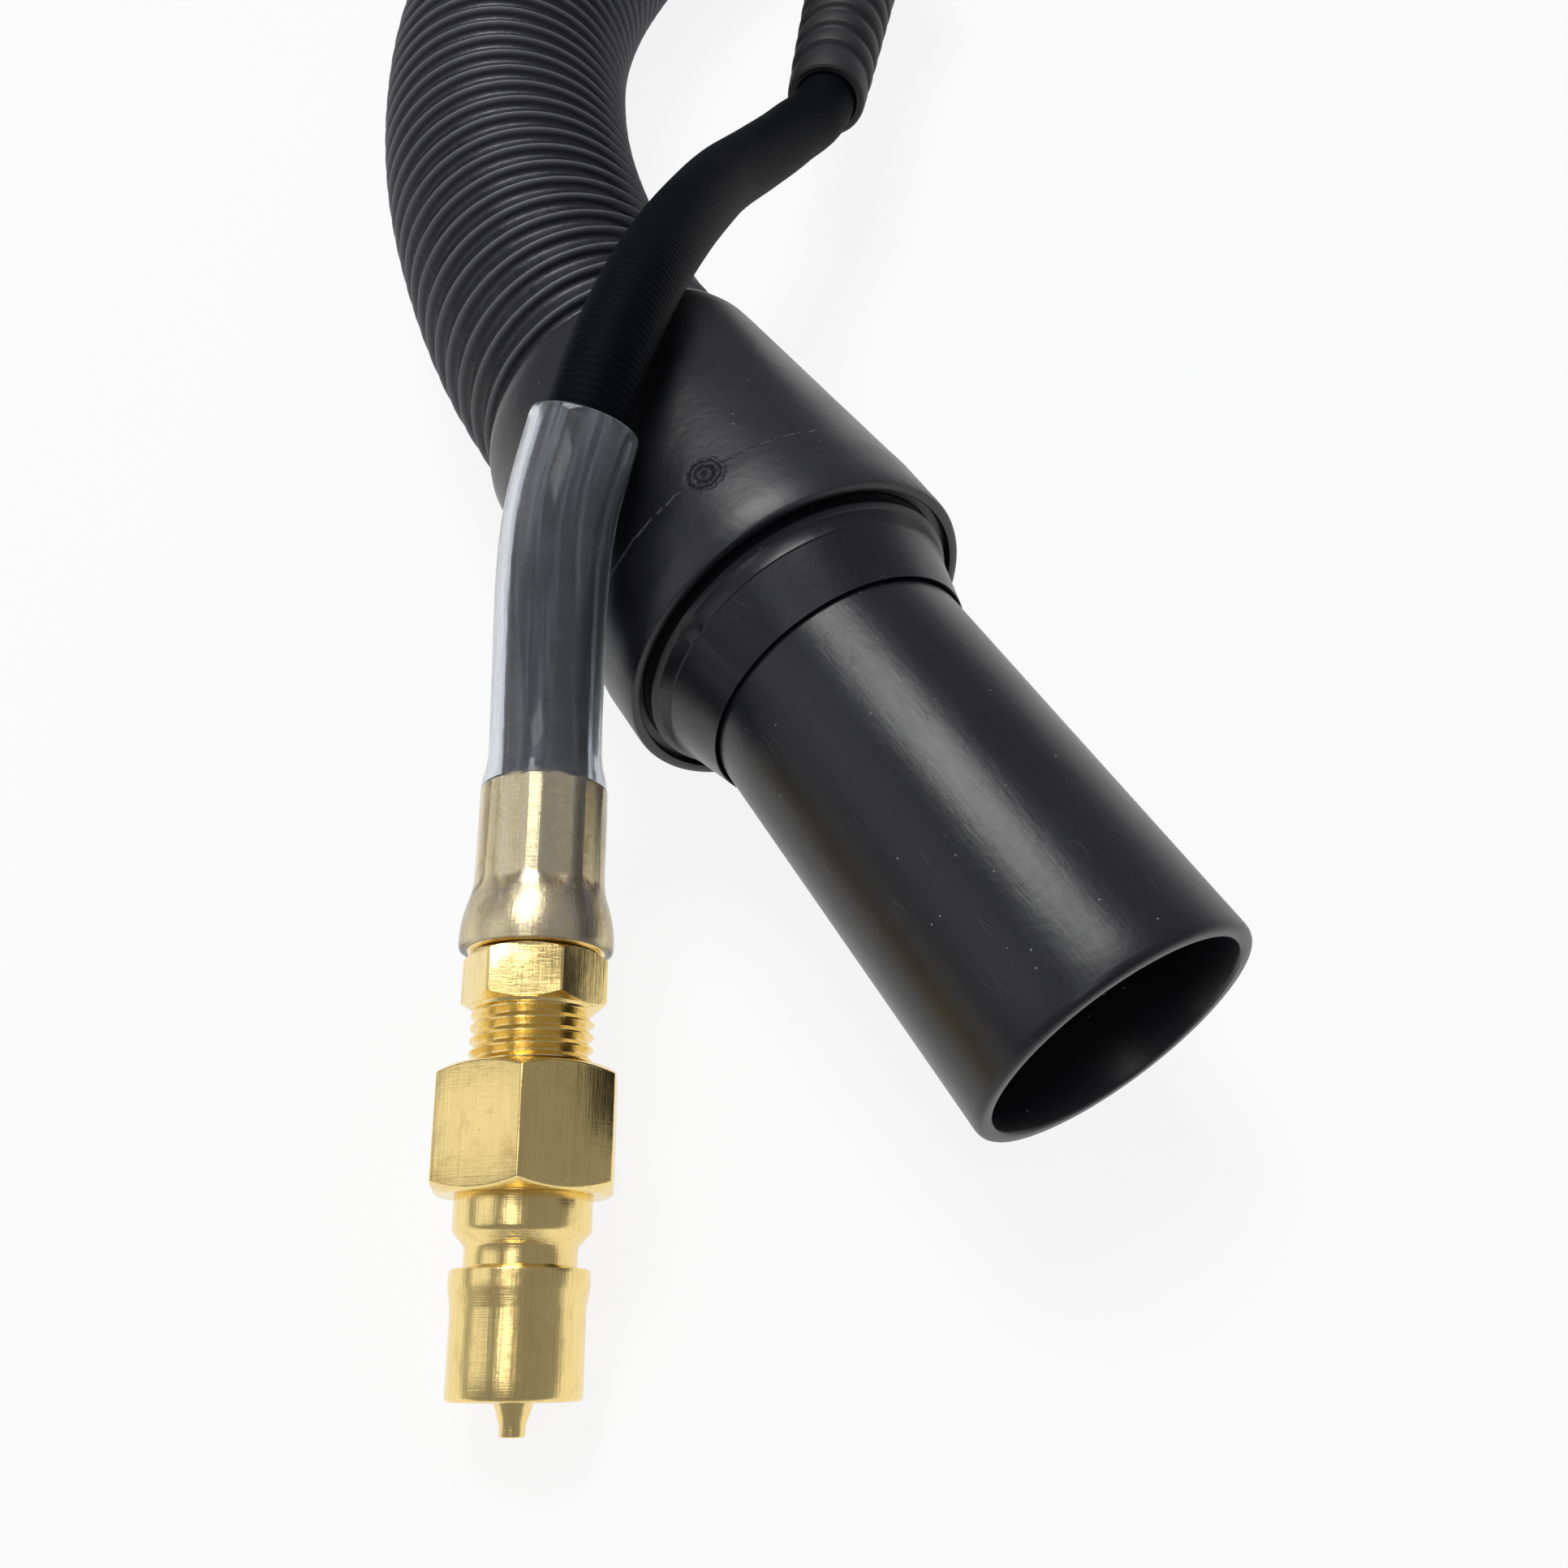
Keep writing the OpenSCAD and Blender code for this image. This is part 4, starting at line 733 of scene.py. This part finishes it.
def tie():
    """A strap round two hoses, one above the other, in the plane of X and Y, with its width along Z."""
    r = hose_d / 2 + 1.15
    sides = [(r * math.cos(a), layer_step + r * math.sin(a)) for a in np.linspace(0, math.pi, 33)]
    sides += [(r * math.cos(a), r * math.sin(a)) for a in np.linspace(math.pi, math.tau, 33)]
    lap = [(r + 1.9, layer_step * share) for share in np.linspace(-0.05, 0.75, 9)]
    shape = bmesh.new()
    for line, closed in ((sides, True), (lap, False)):
        points = [shape.verts.new((x, y, -12.5)) for x, y in line]
        edges = [shape.edges.new(pair) for pair in zip(points, points[1:] + (points[:1] if closed else []))]
        drawn = bmesh.ops.extrude_edge_only(shape, edges=edges)
        verts = [v for v in drawn["geom"] if isinstance(v, bmesh.types.BMVert)]
        bmesh.ops.translate(shape, verts=verts, vec=(0, 0, 25))
    bmesh.ops.recalc_face_normals(shape, faces=shape.faces)
    bmesh.ops.solidify(shape, geom=shape.faces[:], thickness=1.6)
    bmesh.ops.recalc_face_normals(shape, faces=shape.faces)
    return eased(shape, 0.35, 2, 50)


tie_turns = (37.5, 112.5, 202.5)
straps = []
for number, turn in enumerate(tie_turns):
    strap = tie()
    angle = math.radians(turn - 65)
    chord = coil_radius * math.cos(math.radians(7.5)) + 1.0
    at = coil_middle + (chord * math.cos(angle), chord * math.sin(angle), 0)
    lie = Matrix.Translation(at) @ Matrix.Rotation(angle, 4, "Z") @ Matrix.Rotation(math.radians(90), 4, "X")
    stands = ["coil_ties"] if number == 0 else []
    straps.append(piece(f"coil_tie_{number + 1}", strap, "set", webbing, lie, stands_for=stands))


# Brass plug: the nose of a quick-disconnect, with its locking groove and collar, on a 3/4 inch hexagon. It is
# turned from drawn bar, so its round parts have fine rings and its flats keep the lines of the bar.
def brass_finish(name, bright, dark, roughness, worn):
    brass = Finish(name, Metallic=1.0, Roughness=roughness)
    place = brass.own()
    rings = brass.noise(brass.stretched(place, (0.02, 0.02, 1.0)), 9.0, 3.0, 0.6)
    drawn = brass.noise(brass.stretched(place, (1.0, 1.0, 0.03)), 3.2, 3.0, 0.6)
    stain = brass.step(brass.noise(place, 0.35, 6.0, 0.65), 0.5, 0.74)
    pits = brass.step(brass.cells(place, 1.3), 0.05, 0.11, 1.0, 0.0)
    pits = pits * brass.step(brass.noise(place, 0.5, 2.0), 0.5, 0.62)
    base = brass.tint(stain * worn, bright, dark)
    base = brass.tint(brass.step(drawn, 0.4, 0.75) * 0.28, base, dark)
    base = brass.tint(pits * 0.55, base, (0.2, 0.12, 0.04))
    brass.colour(base)
    brass.rough(roughness + stain * 0.14 + drawn * 0.06 + pits * 0.2)
    brass.relief(rings * 0.35 + drawn * 0.4 - pits * 0.8 + brass.noise(place, 0.8, 2.0) * 0.4, 0.00005)
    return brass


bright_brass = brass_finish("machined_brass", (0.95, 0.74, 0.31), (0.64, 0.43, 0.15), 0.15, 0.35)
plug_place = along(plug_at, plug_heading, plug_rise)
groove_front, groove_back = 13.0, 15.35
hex_front, hex_back = 20.5, 34.0
pipe_r, pipe_pitch = 6.85, 1.41
nose_outline = [
    (2.6, 0.0), (6.5, 0.0), (6.85, 0.08), (7.02, 0.25), (nose_r, 0.5), (nose_r, 3), (nose_r, 6), (nose_r, 8.9),
    (7.13, 9.2), (7.4, 10.9), (7.45, 11.2), (7.45, 12.6), (7.38, 12.9), (7.2, 13.02), (6.15, 13.2), (6.0, 13.35),
    (6.0, 14.2), (6.0, 15.2), (6.1, 15.4), (7.2, 16.6), (7.35, 16.85), (7.4, 17.2), (7.4, 18.8), (7.4, 20.3),
    (7.3, 20.6), (4.4, 20.6), (4.4, 1.7), (4.2, 1.5), (2.6, 1.5), (2.5, 1.4), (2.5, 0.1),
]
plug_hexagon = hexagon(19.05, hex_front, hex_back, 1.1)
plug_hexagon.transform(Matrix.Rotation(math.radians(34.6), 4, "Z"))
plug_hexagon = cut(plug_hexagon, rod(6.95, 19, 36), "DIFFERENCE")
piece("plug_nose_and_hexagon", joined(turned(nose_outline, 128), eased(plug_hexagon, 0.12, 2, 20)), "set",
      bright_brass, plug_place, stands_for=["plug_body"])

# Valve of the plug and of the coupler: a brass poppet whose stem stands out of the mouth, so that the mating
# part pushes it open, with a wire spring behind its head.
poppet_outline = [
    (0, -4.9), (1.15, -4.9), (1.3, -4.8), (1.35, -4.6), (1.35, -3.8), (1.45, -3.5), (2.0, -1.8), (2.1, -1.5),
    (2.1, 1.2), (3.9, 1.2), (4.0, 1.3), (4.0, 2.6), (3.9, 2.7), (1.5, 2.7), (1.5, 14.8), (1.2, 15.1), (0, 15.1),
]
valve_places = (("plug", "plug_valve", plug_place @ Matrix.Translation((0, 0, 1.5)), "plug_poppet", "plug_spring"),)


def coil_spring(length, radius, wire, turns):
    """A wound wire from z = 0 up."""
    shape = bmesh.new()
    bmesh.ops.create_circle(shape, segments=8, radius=wire / 2,
                            matrix=Matrix.Translation((radius, 0, wire / 2)) @ Matrix.Rotation(math.pi / 2, 4, "X"))
    rise = (0, 0, (length - wire) / (turns * 24))
    bmesh.ops.spin(shape, geom=shape.verts[:] + shape.edges[:], axis=(0, 0, 1), angle=math.tau * turns,
                   steps=turns * 24, dvec=rise)
    bmesh.ops.holes_fill(shape, edges=[e for e in shape.edges if e.is_boundary], sides=0)
    bmesh.ops.recalc_face_normals(shape, faces=shape.faces)
    return shape


spring_steel = Finish("spring_steel", Metallic=1.0, Roughness=0.28)
place = spring_steel.own()
spring_steel.colour(spring_steel.tint(spring_steel.noise(place, 1.2, 3.0), (0.62, 0.62, 0.62), (0.42, 0.42, 0.43)))
spring_steel.rough(0.22 + spring_steel.noise(place, 2.0, 2.0) * 0.16)
piece("plug_valve_poppet", turned(poppet_outline, 64, closed=False), "plug_valve", bright_brass,
      valve_places[0][2], stands_for=["plug_poppet"])
valve_back, retainer_front = 2.7, 12.5
piece("plug_valve_spring", coil_spring(retainer_front - valve_back - 0.2, 3.0, 0.7, 6), "set", spring_steel,
      valve_places[0][2] @ Matrix.Translation((0, 0, valve_back + 0.1)), stands_for=["plug_spring"])


# Hose stem: a 9/16 inch hexagon with a pipe thread into the plug and a barbed spigot into the line. The thread
# is cut as one real helix.
def pipe_thread(start, end):
    """A threaded cylinder from start to end."""
    turns = int((end - start) / pipe_pitch) + 3
    shape = bmesh.new()
    outline = [(pipe_r - 0.75, 0.0), (pipe_r - 0.12, 0.52), (pipe_r, 0.6), (pipe_r, 0.76), (pipe_r - 0.12, 0.84),
               (pipe_r - 0.75, pipe_pitch)]
    points = [shape.verts.new((r, 0, z)) for r, z in outline]
    edges = [shape.edges.new(pair) for pair in zip(points, points[1:])]
    bmesh.ops.spin(shape, geom=points + edges, axis=(0, 0, 1), angle=math.tau * turns, steps=64 * turns,
                   dvec=(0, 0, pipe_pitch / 64))
    bmesh.ops.remove_doubles(shape, verts=shape.verts, dist=0.01)
    bmesh.ops.translate(shape, verts=shape.verts, vec=(0, 0, start - pipe_pitch * 1.2))
    for at, way in ((start, (0, 0, -1)), (end, (0, 0, 1))):
        bmesh.ops.bisect_plane(shape, geom=shape.verts[:] + shape.edges[:] + shape.faces[:], plane_co=(0, 0, at),
                               plane_no=way, clear_outer=True)
    bmesh.ops.recalc_face_normals(shape, faces=shape.faces)
    return shape


def hose_stem():
    core = [(1.5, -16.5), (5.0, -16.5), (5.9, -16.2), (pipe_r - 0.6, -15.6), (pipe_r - 0.7, -0.6), (6.7, -0.35),
            (6.9, 0.0), (1.5, 0.2)]
    spigot = [(1.5, 6.0), (2.0, 6.0)]
    for barb in range(4):
        z = 7.5 + 1 + barb * 3.2
        spigot += [(1.8, z), (2.2, z + 0.15), (1.8, z + 2.6)]
    spigot += [(1.6, 22.3), (1.5, 22.3)]
    nut = cut(hexagon(14.29, 0, stem_hex, 0.7), rod(1.5, -1, 8, 32), "DIFFERENCE")
    return joined(turned(core, 96), pipe_thread(-12, -0.3), turned(spigot, 48), eased(nut, 0.12, 2, 20))


stem_place = plug_place @ Matrix.Translation((0, 0, stem_at))
piece("plug_hose_stem", hose_stem(), "set", bright_brass, stem_place, stands_for=["hose_stem"])

# Crimp ferrule: a drawn brass sleeve squeezed onto the line by eight jaws. Its flats end in scallops against
# the round front, which swells out like a barrel, and the metal is duller than the plug's.
dull_brass = brass_finish("drawn_brass", (0.98, 0.82, 0.46), (0.66, 0.48, 0.22), 0.22, 0.5)


def ferrule():
    front_r, crimp_r, neck = 8.0, 6.5, ferrule_front + 7.4
    outline = [(5.2, ferrule_front + 1.2), (4.8, ferrule_front + 0.9), (2.5, ferrule_front + 0.9),
               (2.5, ferrule_front), (front_r - 0.8, ferrule_front), (front_r - 0.3, ferrule_front + 0.15),
               (front_r - 0.08, ferrule_front + 0.5), (front_r, ferrule_front + 1.2), (front_r - 0.02, ferrule_front + 2.1),
               (front_r - 0.15, ferrule_front + 3.1), (front_r - 0.36, ferrule_front + 4.1),
               (front_r - 0.66, ferrule_front + 5.1), (front_r - 0.98, ferrule_front + 6.0),
               (front_r - 1.22, ferrule_front + 6.7), (crimp_r + 0.12, neck)]
    outline += [(crimp_r, z) for z in np.linspace(neck + 0.5, ferrule_back - 0.3, 40)]
    outline += [(crimp_r - 0.3, ferrule_back), (5.25, ferrule_back), (5.2, ferrule_back - 0.3)]
    sleeve = turned(outline, 192)
    for v in sleeve.verts:
        r = v.co.xy.length
        if v.co.z < neck - 1.4 or r < 5.6:
            continue
        share = (math.degrees(math.atan2(v.co.y, v.co.x)) % 45 - 22.5) / 22.5
        start = neck - 0.9 + 2.2 * share * share
        depth = min(1, max(0, (v.co.z - start) / 0.9))
        depth = depth * depth * (3 - 2 * depth)
        flat = 6.28 / math.cos(math.radians(22.5 * share))
        ridge = 0.16 * max(0, 1 - abs(abs(share) - 1) / 0.14)
        target = min(flat + 0.06, 6.62) + ridge - 0.06
        v.co.xy *= (r + (min(r, target) - r) * depth) / r
    return sleeve


piece("plug_crimp_ferrule", ferrule(), "set", dull_brass, stem_place, crease=35,
      stands_for=["crimp_ferrule"])

# Clear sleeve: soft vinyl tubing pushed over the ferrule and the first 60 mm of the line. It clings to the
# ferrule, stands a little off the line behind it, is cut square and is smeared from handling.
clear_vinyl = Finish("clear_vinyl", Base_Color=(0.82, 0.84, 0.89, 1), Roughness=0.08, Transmission_Weight=0.95, IOR=1.38)
place = clear_vinyl.own()
smears = clear_vinyl.noise(clear_vinyl.stretched(place, (1.0, 1.0, 0.05)), 0.7, 5.0, 0.65)
wipe = clear_vinyl.step(clear_vinyl.noise(place, 0.22, 5.0, 0.7), 0.45, 0.8)
clear_vinyl.rough(0.06 + wipe * 0.14)
clear_vinyl.relief(smears * 0.8 + clear_vinyl.noise(place, 0.2, 2.0) * 0.8, 0.0001, 0.45)
milk = clear_vinyl.node("BsdfDiffuse", {}, {"Color": (0.56, 0.59, 0.68, 1)})
share = 0.012 + clear_vinyl.step(smears, 0.5, 0.72) * 0.2 + wipe * 0.04
clear = Wire(clear_vinyl, clear_vinyl.surface.outputs[0])
surface = clear_vinyl.node("MixShader", {}, {0: share, 1: clear, 2: milk})
clear_vinyl.tree.links.new(surface.socket, clear_vinyl.tree.nodes["Material Output"].inputs["Surface"])
sleeve_lead = 3
sleeve_route = np.vstack([
    [plug_at + plug_axis * (stem_at + ferrule_front - sleeve_lead + s)
     for s in np.linspace(0, line_front - ferrule_front + sleeve_lead - 0.4, 6)],
    line_route,
])
sleeve_end = sleeve_lead + line_front - ferrule_front + 62
crimp_at = sleeve_lead + ferrule_back - ferrule_front
sleeve_out = [
    (7.65, sleeve_lead + 0.2), (8.35, sleeve_lead + 0.2), (8.6, sleeve_lead + 0.35), (8.72, sleeve_lead + 0.8),
    (8.74, sleeve_lead + 1.6), (8.68, sleeve_lead + 2.6), (8.5, sleeve_lead + 3.8), (8.22, sleeve_lead + 5.0),
    (7.86, sleeve_lead + 6.2), (7.6, sleeve_lead + 7.2), (7.46, sleeve_lead + 8.4), (7.42, sleeve_lead + 10),
    (7.42, crimp_at - 4), (7.4, crimp_at - 0.5), (7.2, crimp_at + 1.0), (6.85, crimp_at + 2.4), (6.64, crimp_at + 4),
    *((6.6, z) for z in np.linspace(crimp_at + 7, sleeve_end - 1, 16)),
    (6.6, sleeve_end - 0.2), (6.52, sleeve_end - 0.05), (6.42, sleeve_end), (5.6, sleeve_end), (5.45, sleeve_end - 0.15),
    *((5.45, z) for z in np.linspace(sleeve_end - 1, crimp_at + 3.5, 16)),
    (5.6, crimp_at + 1.4), (5.8, crimp_at + 0.4), (5.8, crimp_at - 0.3), (5.8, crimp_at - 1.0),
    (5.8, sleeve_lead + 8.0), (6.1, sleeve_lead + 7.0), (6.5, sleeve_lead + 6.0), (6.9, sleeve_lead + 5.1),
    (7.2, sleeve_lead + 4.1), (7.4, sleeve_lead + 3.1), (7.5, sleeve_lead + 2.1), (7.5, sleeve_lead + 1.2),
    (7.5, sleeve_lead + 0.6),
]
piece("clear_crimp_sleeve", turned(sleeve_out, 96), "set", clear_vinyl, route=sleeve_route, crease=60,
      stands_for=["clear_sleeve"])


# Coupler at the machine end: a brass body with eight balls round its mouth, a knurled steel sleeve that is
# pulled back to let the plug in, and a hexagon adapter onto the supply line's stem.
coupler_length = 59.5 + line_front
coupler_heading = machine_heading - 15 + 180
coupler_at = in_machine_frame((supply_end + heading(-15, coupler_length))[None])[0]
coupler_place = along(coupler_at, coupler_heading)
stop_front, stop_back, valve_wall = 27.0, 30.0, 24.0
body_outline = [
    (7.9, 0.2), (8.1, 0.0), (8.5, 0.0), (8.85, 0.15), (9.0, 0.5), (9.0, 4.0), (8.6, 4.15), (8.6, 5.25), (9.0, 5.3),
    (9.0, stop_front), (10.7, stop_front), (11.0, stop_front + 0.3), (11.0, stop_back - 0.3), (10.7, stop_back),
    (6.85, stop_back), (6.85, 38.3), (5.1, 38.3), (5.0, 38.2), (5.0, valve_wall), (2.5, valve_wall),
    (2.5, 22.5), (7.2, 22.5), (7.2, 17.7), (8.55, 17.65), (8.55, 16.0), (7.2, 15.95), (7.2, 11.5), (7.6, 11.3), (7.6, 5.5), (7.9, 5.5),
]
piece("coupler_socket_body", turned(body_outline, 96), "set", bright_brass, coupler_place,
      stands_for=["coupler_body"])
turned_steel = Finish("turned_steel", Metallic=1.0, Roughness=0.26)
place = turned_steel.own()
rings = turned_steel.noise(turned_steel.stretched(place, (0.02, 0.02, 1.0)), 8.0, 3.0)
smear = turned_steel.noise(place, 0.3, 5.0, 0.65)
turned_steel.colour(turned_steel.tint(turned_steel.step(smear, 0.4, 0.8), (0.63, 0.62, 0.6), (0.47, 0.46, 0.45)))
turned_steel.rough(0.22 + rings * 0.1 + smear * 0.1)
turned_steel.relief(rings, 0.00005, 0.6)
grip = [(10.9, 1.2), (11.1, 1.0), (11.5, 1.0), (12.2, 1.3), (12.5, 1.9), (12.5, 6.0)]
for groove in range(4):
    z = 6.5 + groove * 2.6
    grip += [(12.0, z + 0.1), (12.0, z + 1.0), (12.45, z + 1.5), (12.5, z + 1.6), (12.5, z + 2.3)]
grip += [(12.5, 20.7), (12.2, 21.3), (11.7, 21.5), (11.2, 21.5), (11.2, 11.1), (9.25, 11.0), (9.25, 5.5), (10.9, 5.5)]
grip_sleeve = turned(grip, 120)
for v in grip_sleeve.verts:
    if v.co.xy.length > 12.3 and 6.2 < v.co.z < 17.5:
        turn = math.atan2(v.co.y, v.co.x) * 30
        v.co.xy *= 1 - 0.012 * (0.5 + 0.5 * math.cos(turn))
piece("coupler_grip_sleeve", grip_sleeve, "coupler_grip", turned_steel, coupler_place,
      stands_for=["coupler_sleeve"])
adapter = hexagon(19.05, 30.1, 52.6, 1.0)
for hollow in (rod(6.95, 29, 38.8), rod(3.5, 38, 43), rod(6.95, 41.6, 54)):
    adapter = cut(adapter, hollow, "DIFFERENCE")
piece("coupler_hexagon_adapter", eased(adapter, 0.12, 2, 20), "set", bright_brass, coupler_place,
      stands_for=["coupler_adapter"])
coupler_valve_place = coupler_place @ Matrix.Translation((0, 0, valve_wall))
piece("coupler_valve_poppet", turned(poppet_outline, 64, closed=False), "coupler_valve", bright_brass,
      coupler_valve_place, stands_for=["coupler_poppet"])
piece("coupler_valve_spring", coil_spring(retainer_front - valve_back - 0.2, 3.0, 0.7, 6), "set",
      spring_steel, coupler_valve_place @ Matrix.Translation((0, 0, valve_back + 0.1)),
      stands_for=["coupler_poppet_spring"])
piece("coupler_grip_spring", coil_spring(stop_front - 11.2, 10.1, 0.9, 6), "set", spring_steel,
      coupler_place @ Matrix.Translation((0, 0, 11.1)), stands_for=["coupler_sleeve_spring"])
supply_place = coupler_place @ Matrix.Translation((0, 0, 59.5))
supply_stem = piece("supply_hose_stem", hose_stem(), "set", bright_brass, supply_place,
                    stands_for=["supply_stem"])
supply_ferrule = piece("supply_crimp_ferrule", ferrule(), "set", dull_brass, supply_place, crease=35,
                       stands_for=["supply_ferrule"])
tuple(supply_route[0] / 1000)
(supply_route[::4] / 1000).tolist() + [(supply_route[-1] / 1000).tolist()]

# Small parts that stay as they were made: seals and O-ring of black rubber, perforated brass discs behind the
# valves, and the steel balls and snap ring of the coupler.
seal_rubber = Finish("seal_rubber", Roughness=0.5)
place = seal_rubber.node("TexCoord", {}, {}, "Object")
seal_rubber.colour(seal_rubber.tint(seal_rubber.noise(place, 900.0, 3.0), (0.01, 0.01, 0.011), (0.03, 0.03, 0.031)))
seal_rubber.rough(0.42 + seal_rubber.noise(place, 2500.0) * 0.2)
small_brass = Finish("disc_brass", Metallic=1.0, Roughness=0.25)
place = small_brass.node("TexCoord", {}, {}, "Object")
small_brass.colour(small_brass.tint(small_brass.noise(place, 700.0, 4.0), (0.86, 0.64, 0.26), (0.55, 0.36, 0.12)))
small_brass.rough(0.2 + small_brass.noise(place, 1800.0) * 0.15)
ball_steel = Finish("ball_steel", Metallic=1.0, Roughness=0.12)
place = ball_steel.node("TexCoord", {}, {}, "Object")
ball_steel.colour(ball_steel.tint(ball_steel.noise(place, 900.0, 3.0), (0.68, 0.68, 0.68), (0.5, 0.5, 0.5)))
ball_steel.rough(0.09 + ball_steel.noise(place, 1500.0) * 0.1)
kept = {
    "swivel_seal": seal_rubber, "machine_seal": seal_rubber, "plug_seal": seal_rubber, "coupler_o_ring": seal_rubber,
    "coupler_poppet_seal": seal_rubber, "plug_retainer": small_brass, "coupler_retainer": small_brass,
    "coupler_balls": ball_steel, "coupler_snap_ring": ball_steel,
}
for name, finish in kept.items():
    for material_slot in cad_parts[name].material_slots:
        material_slot.material = finish.material
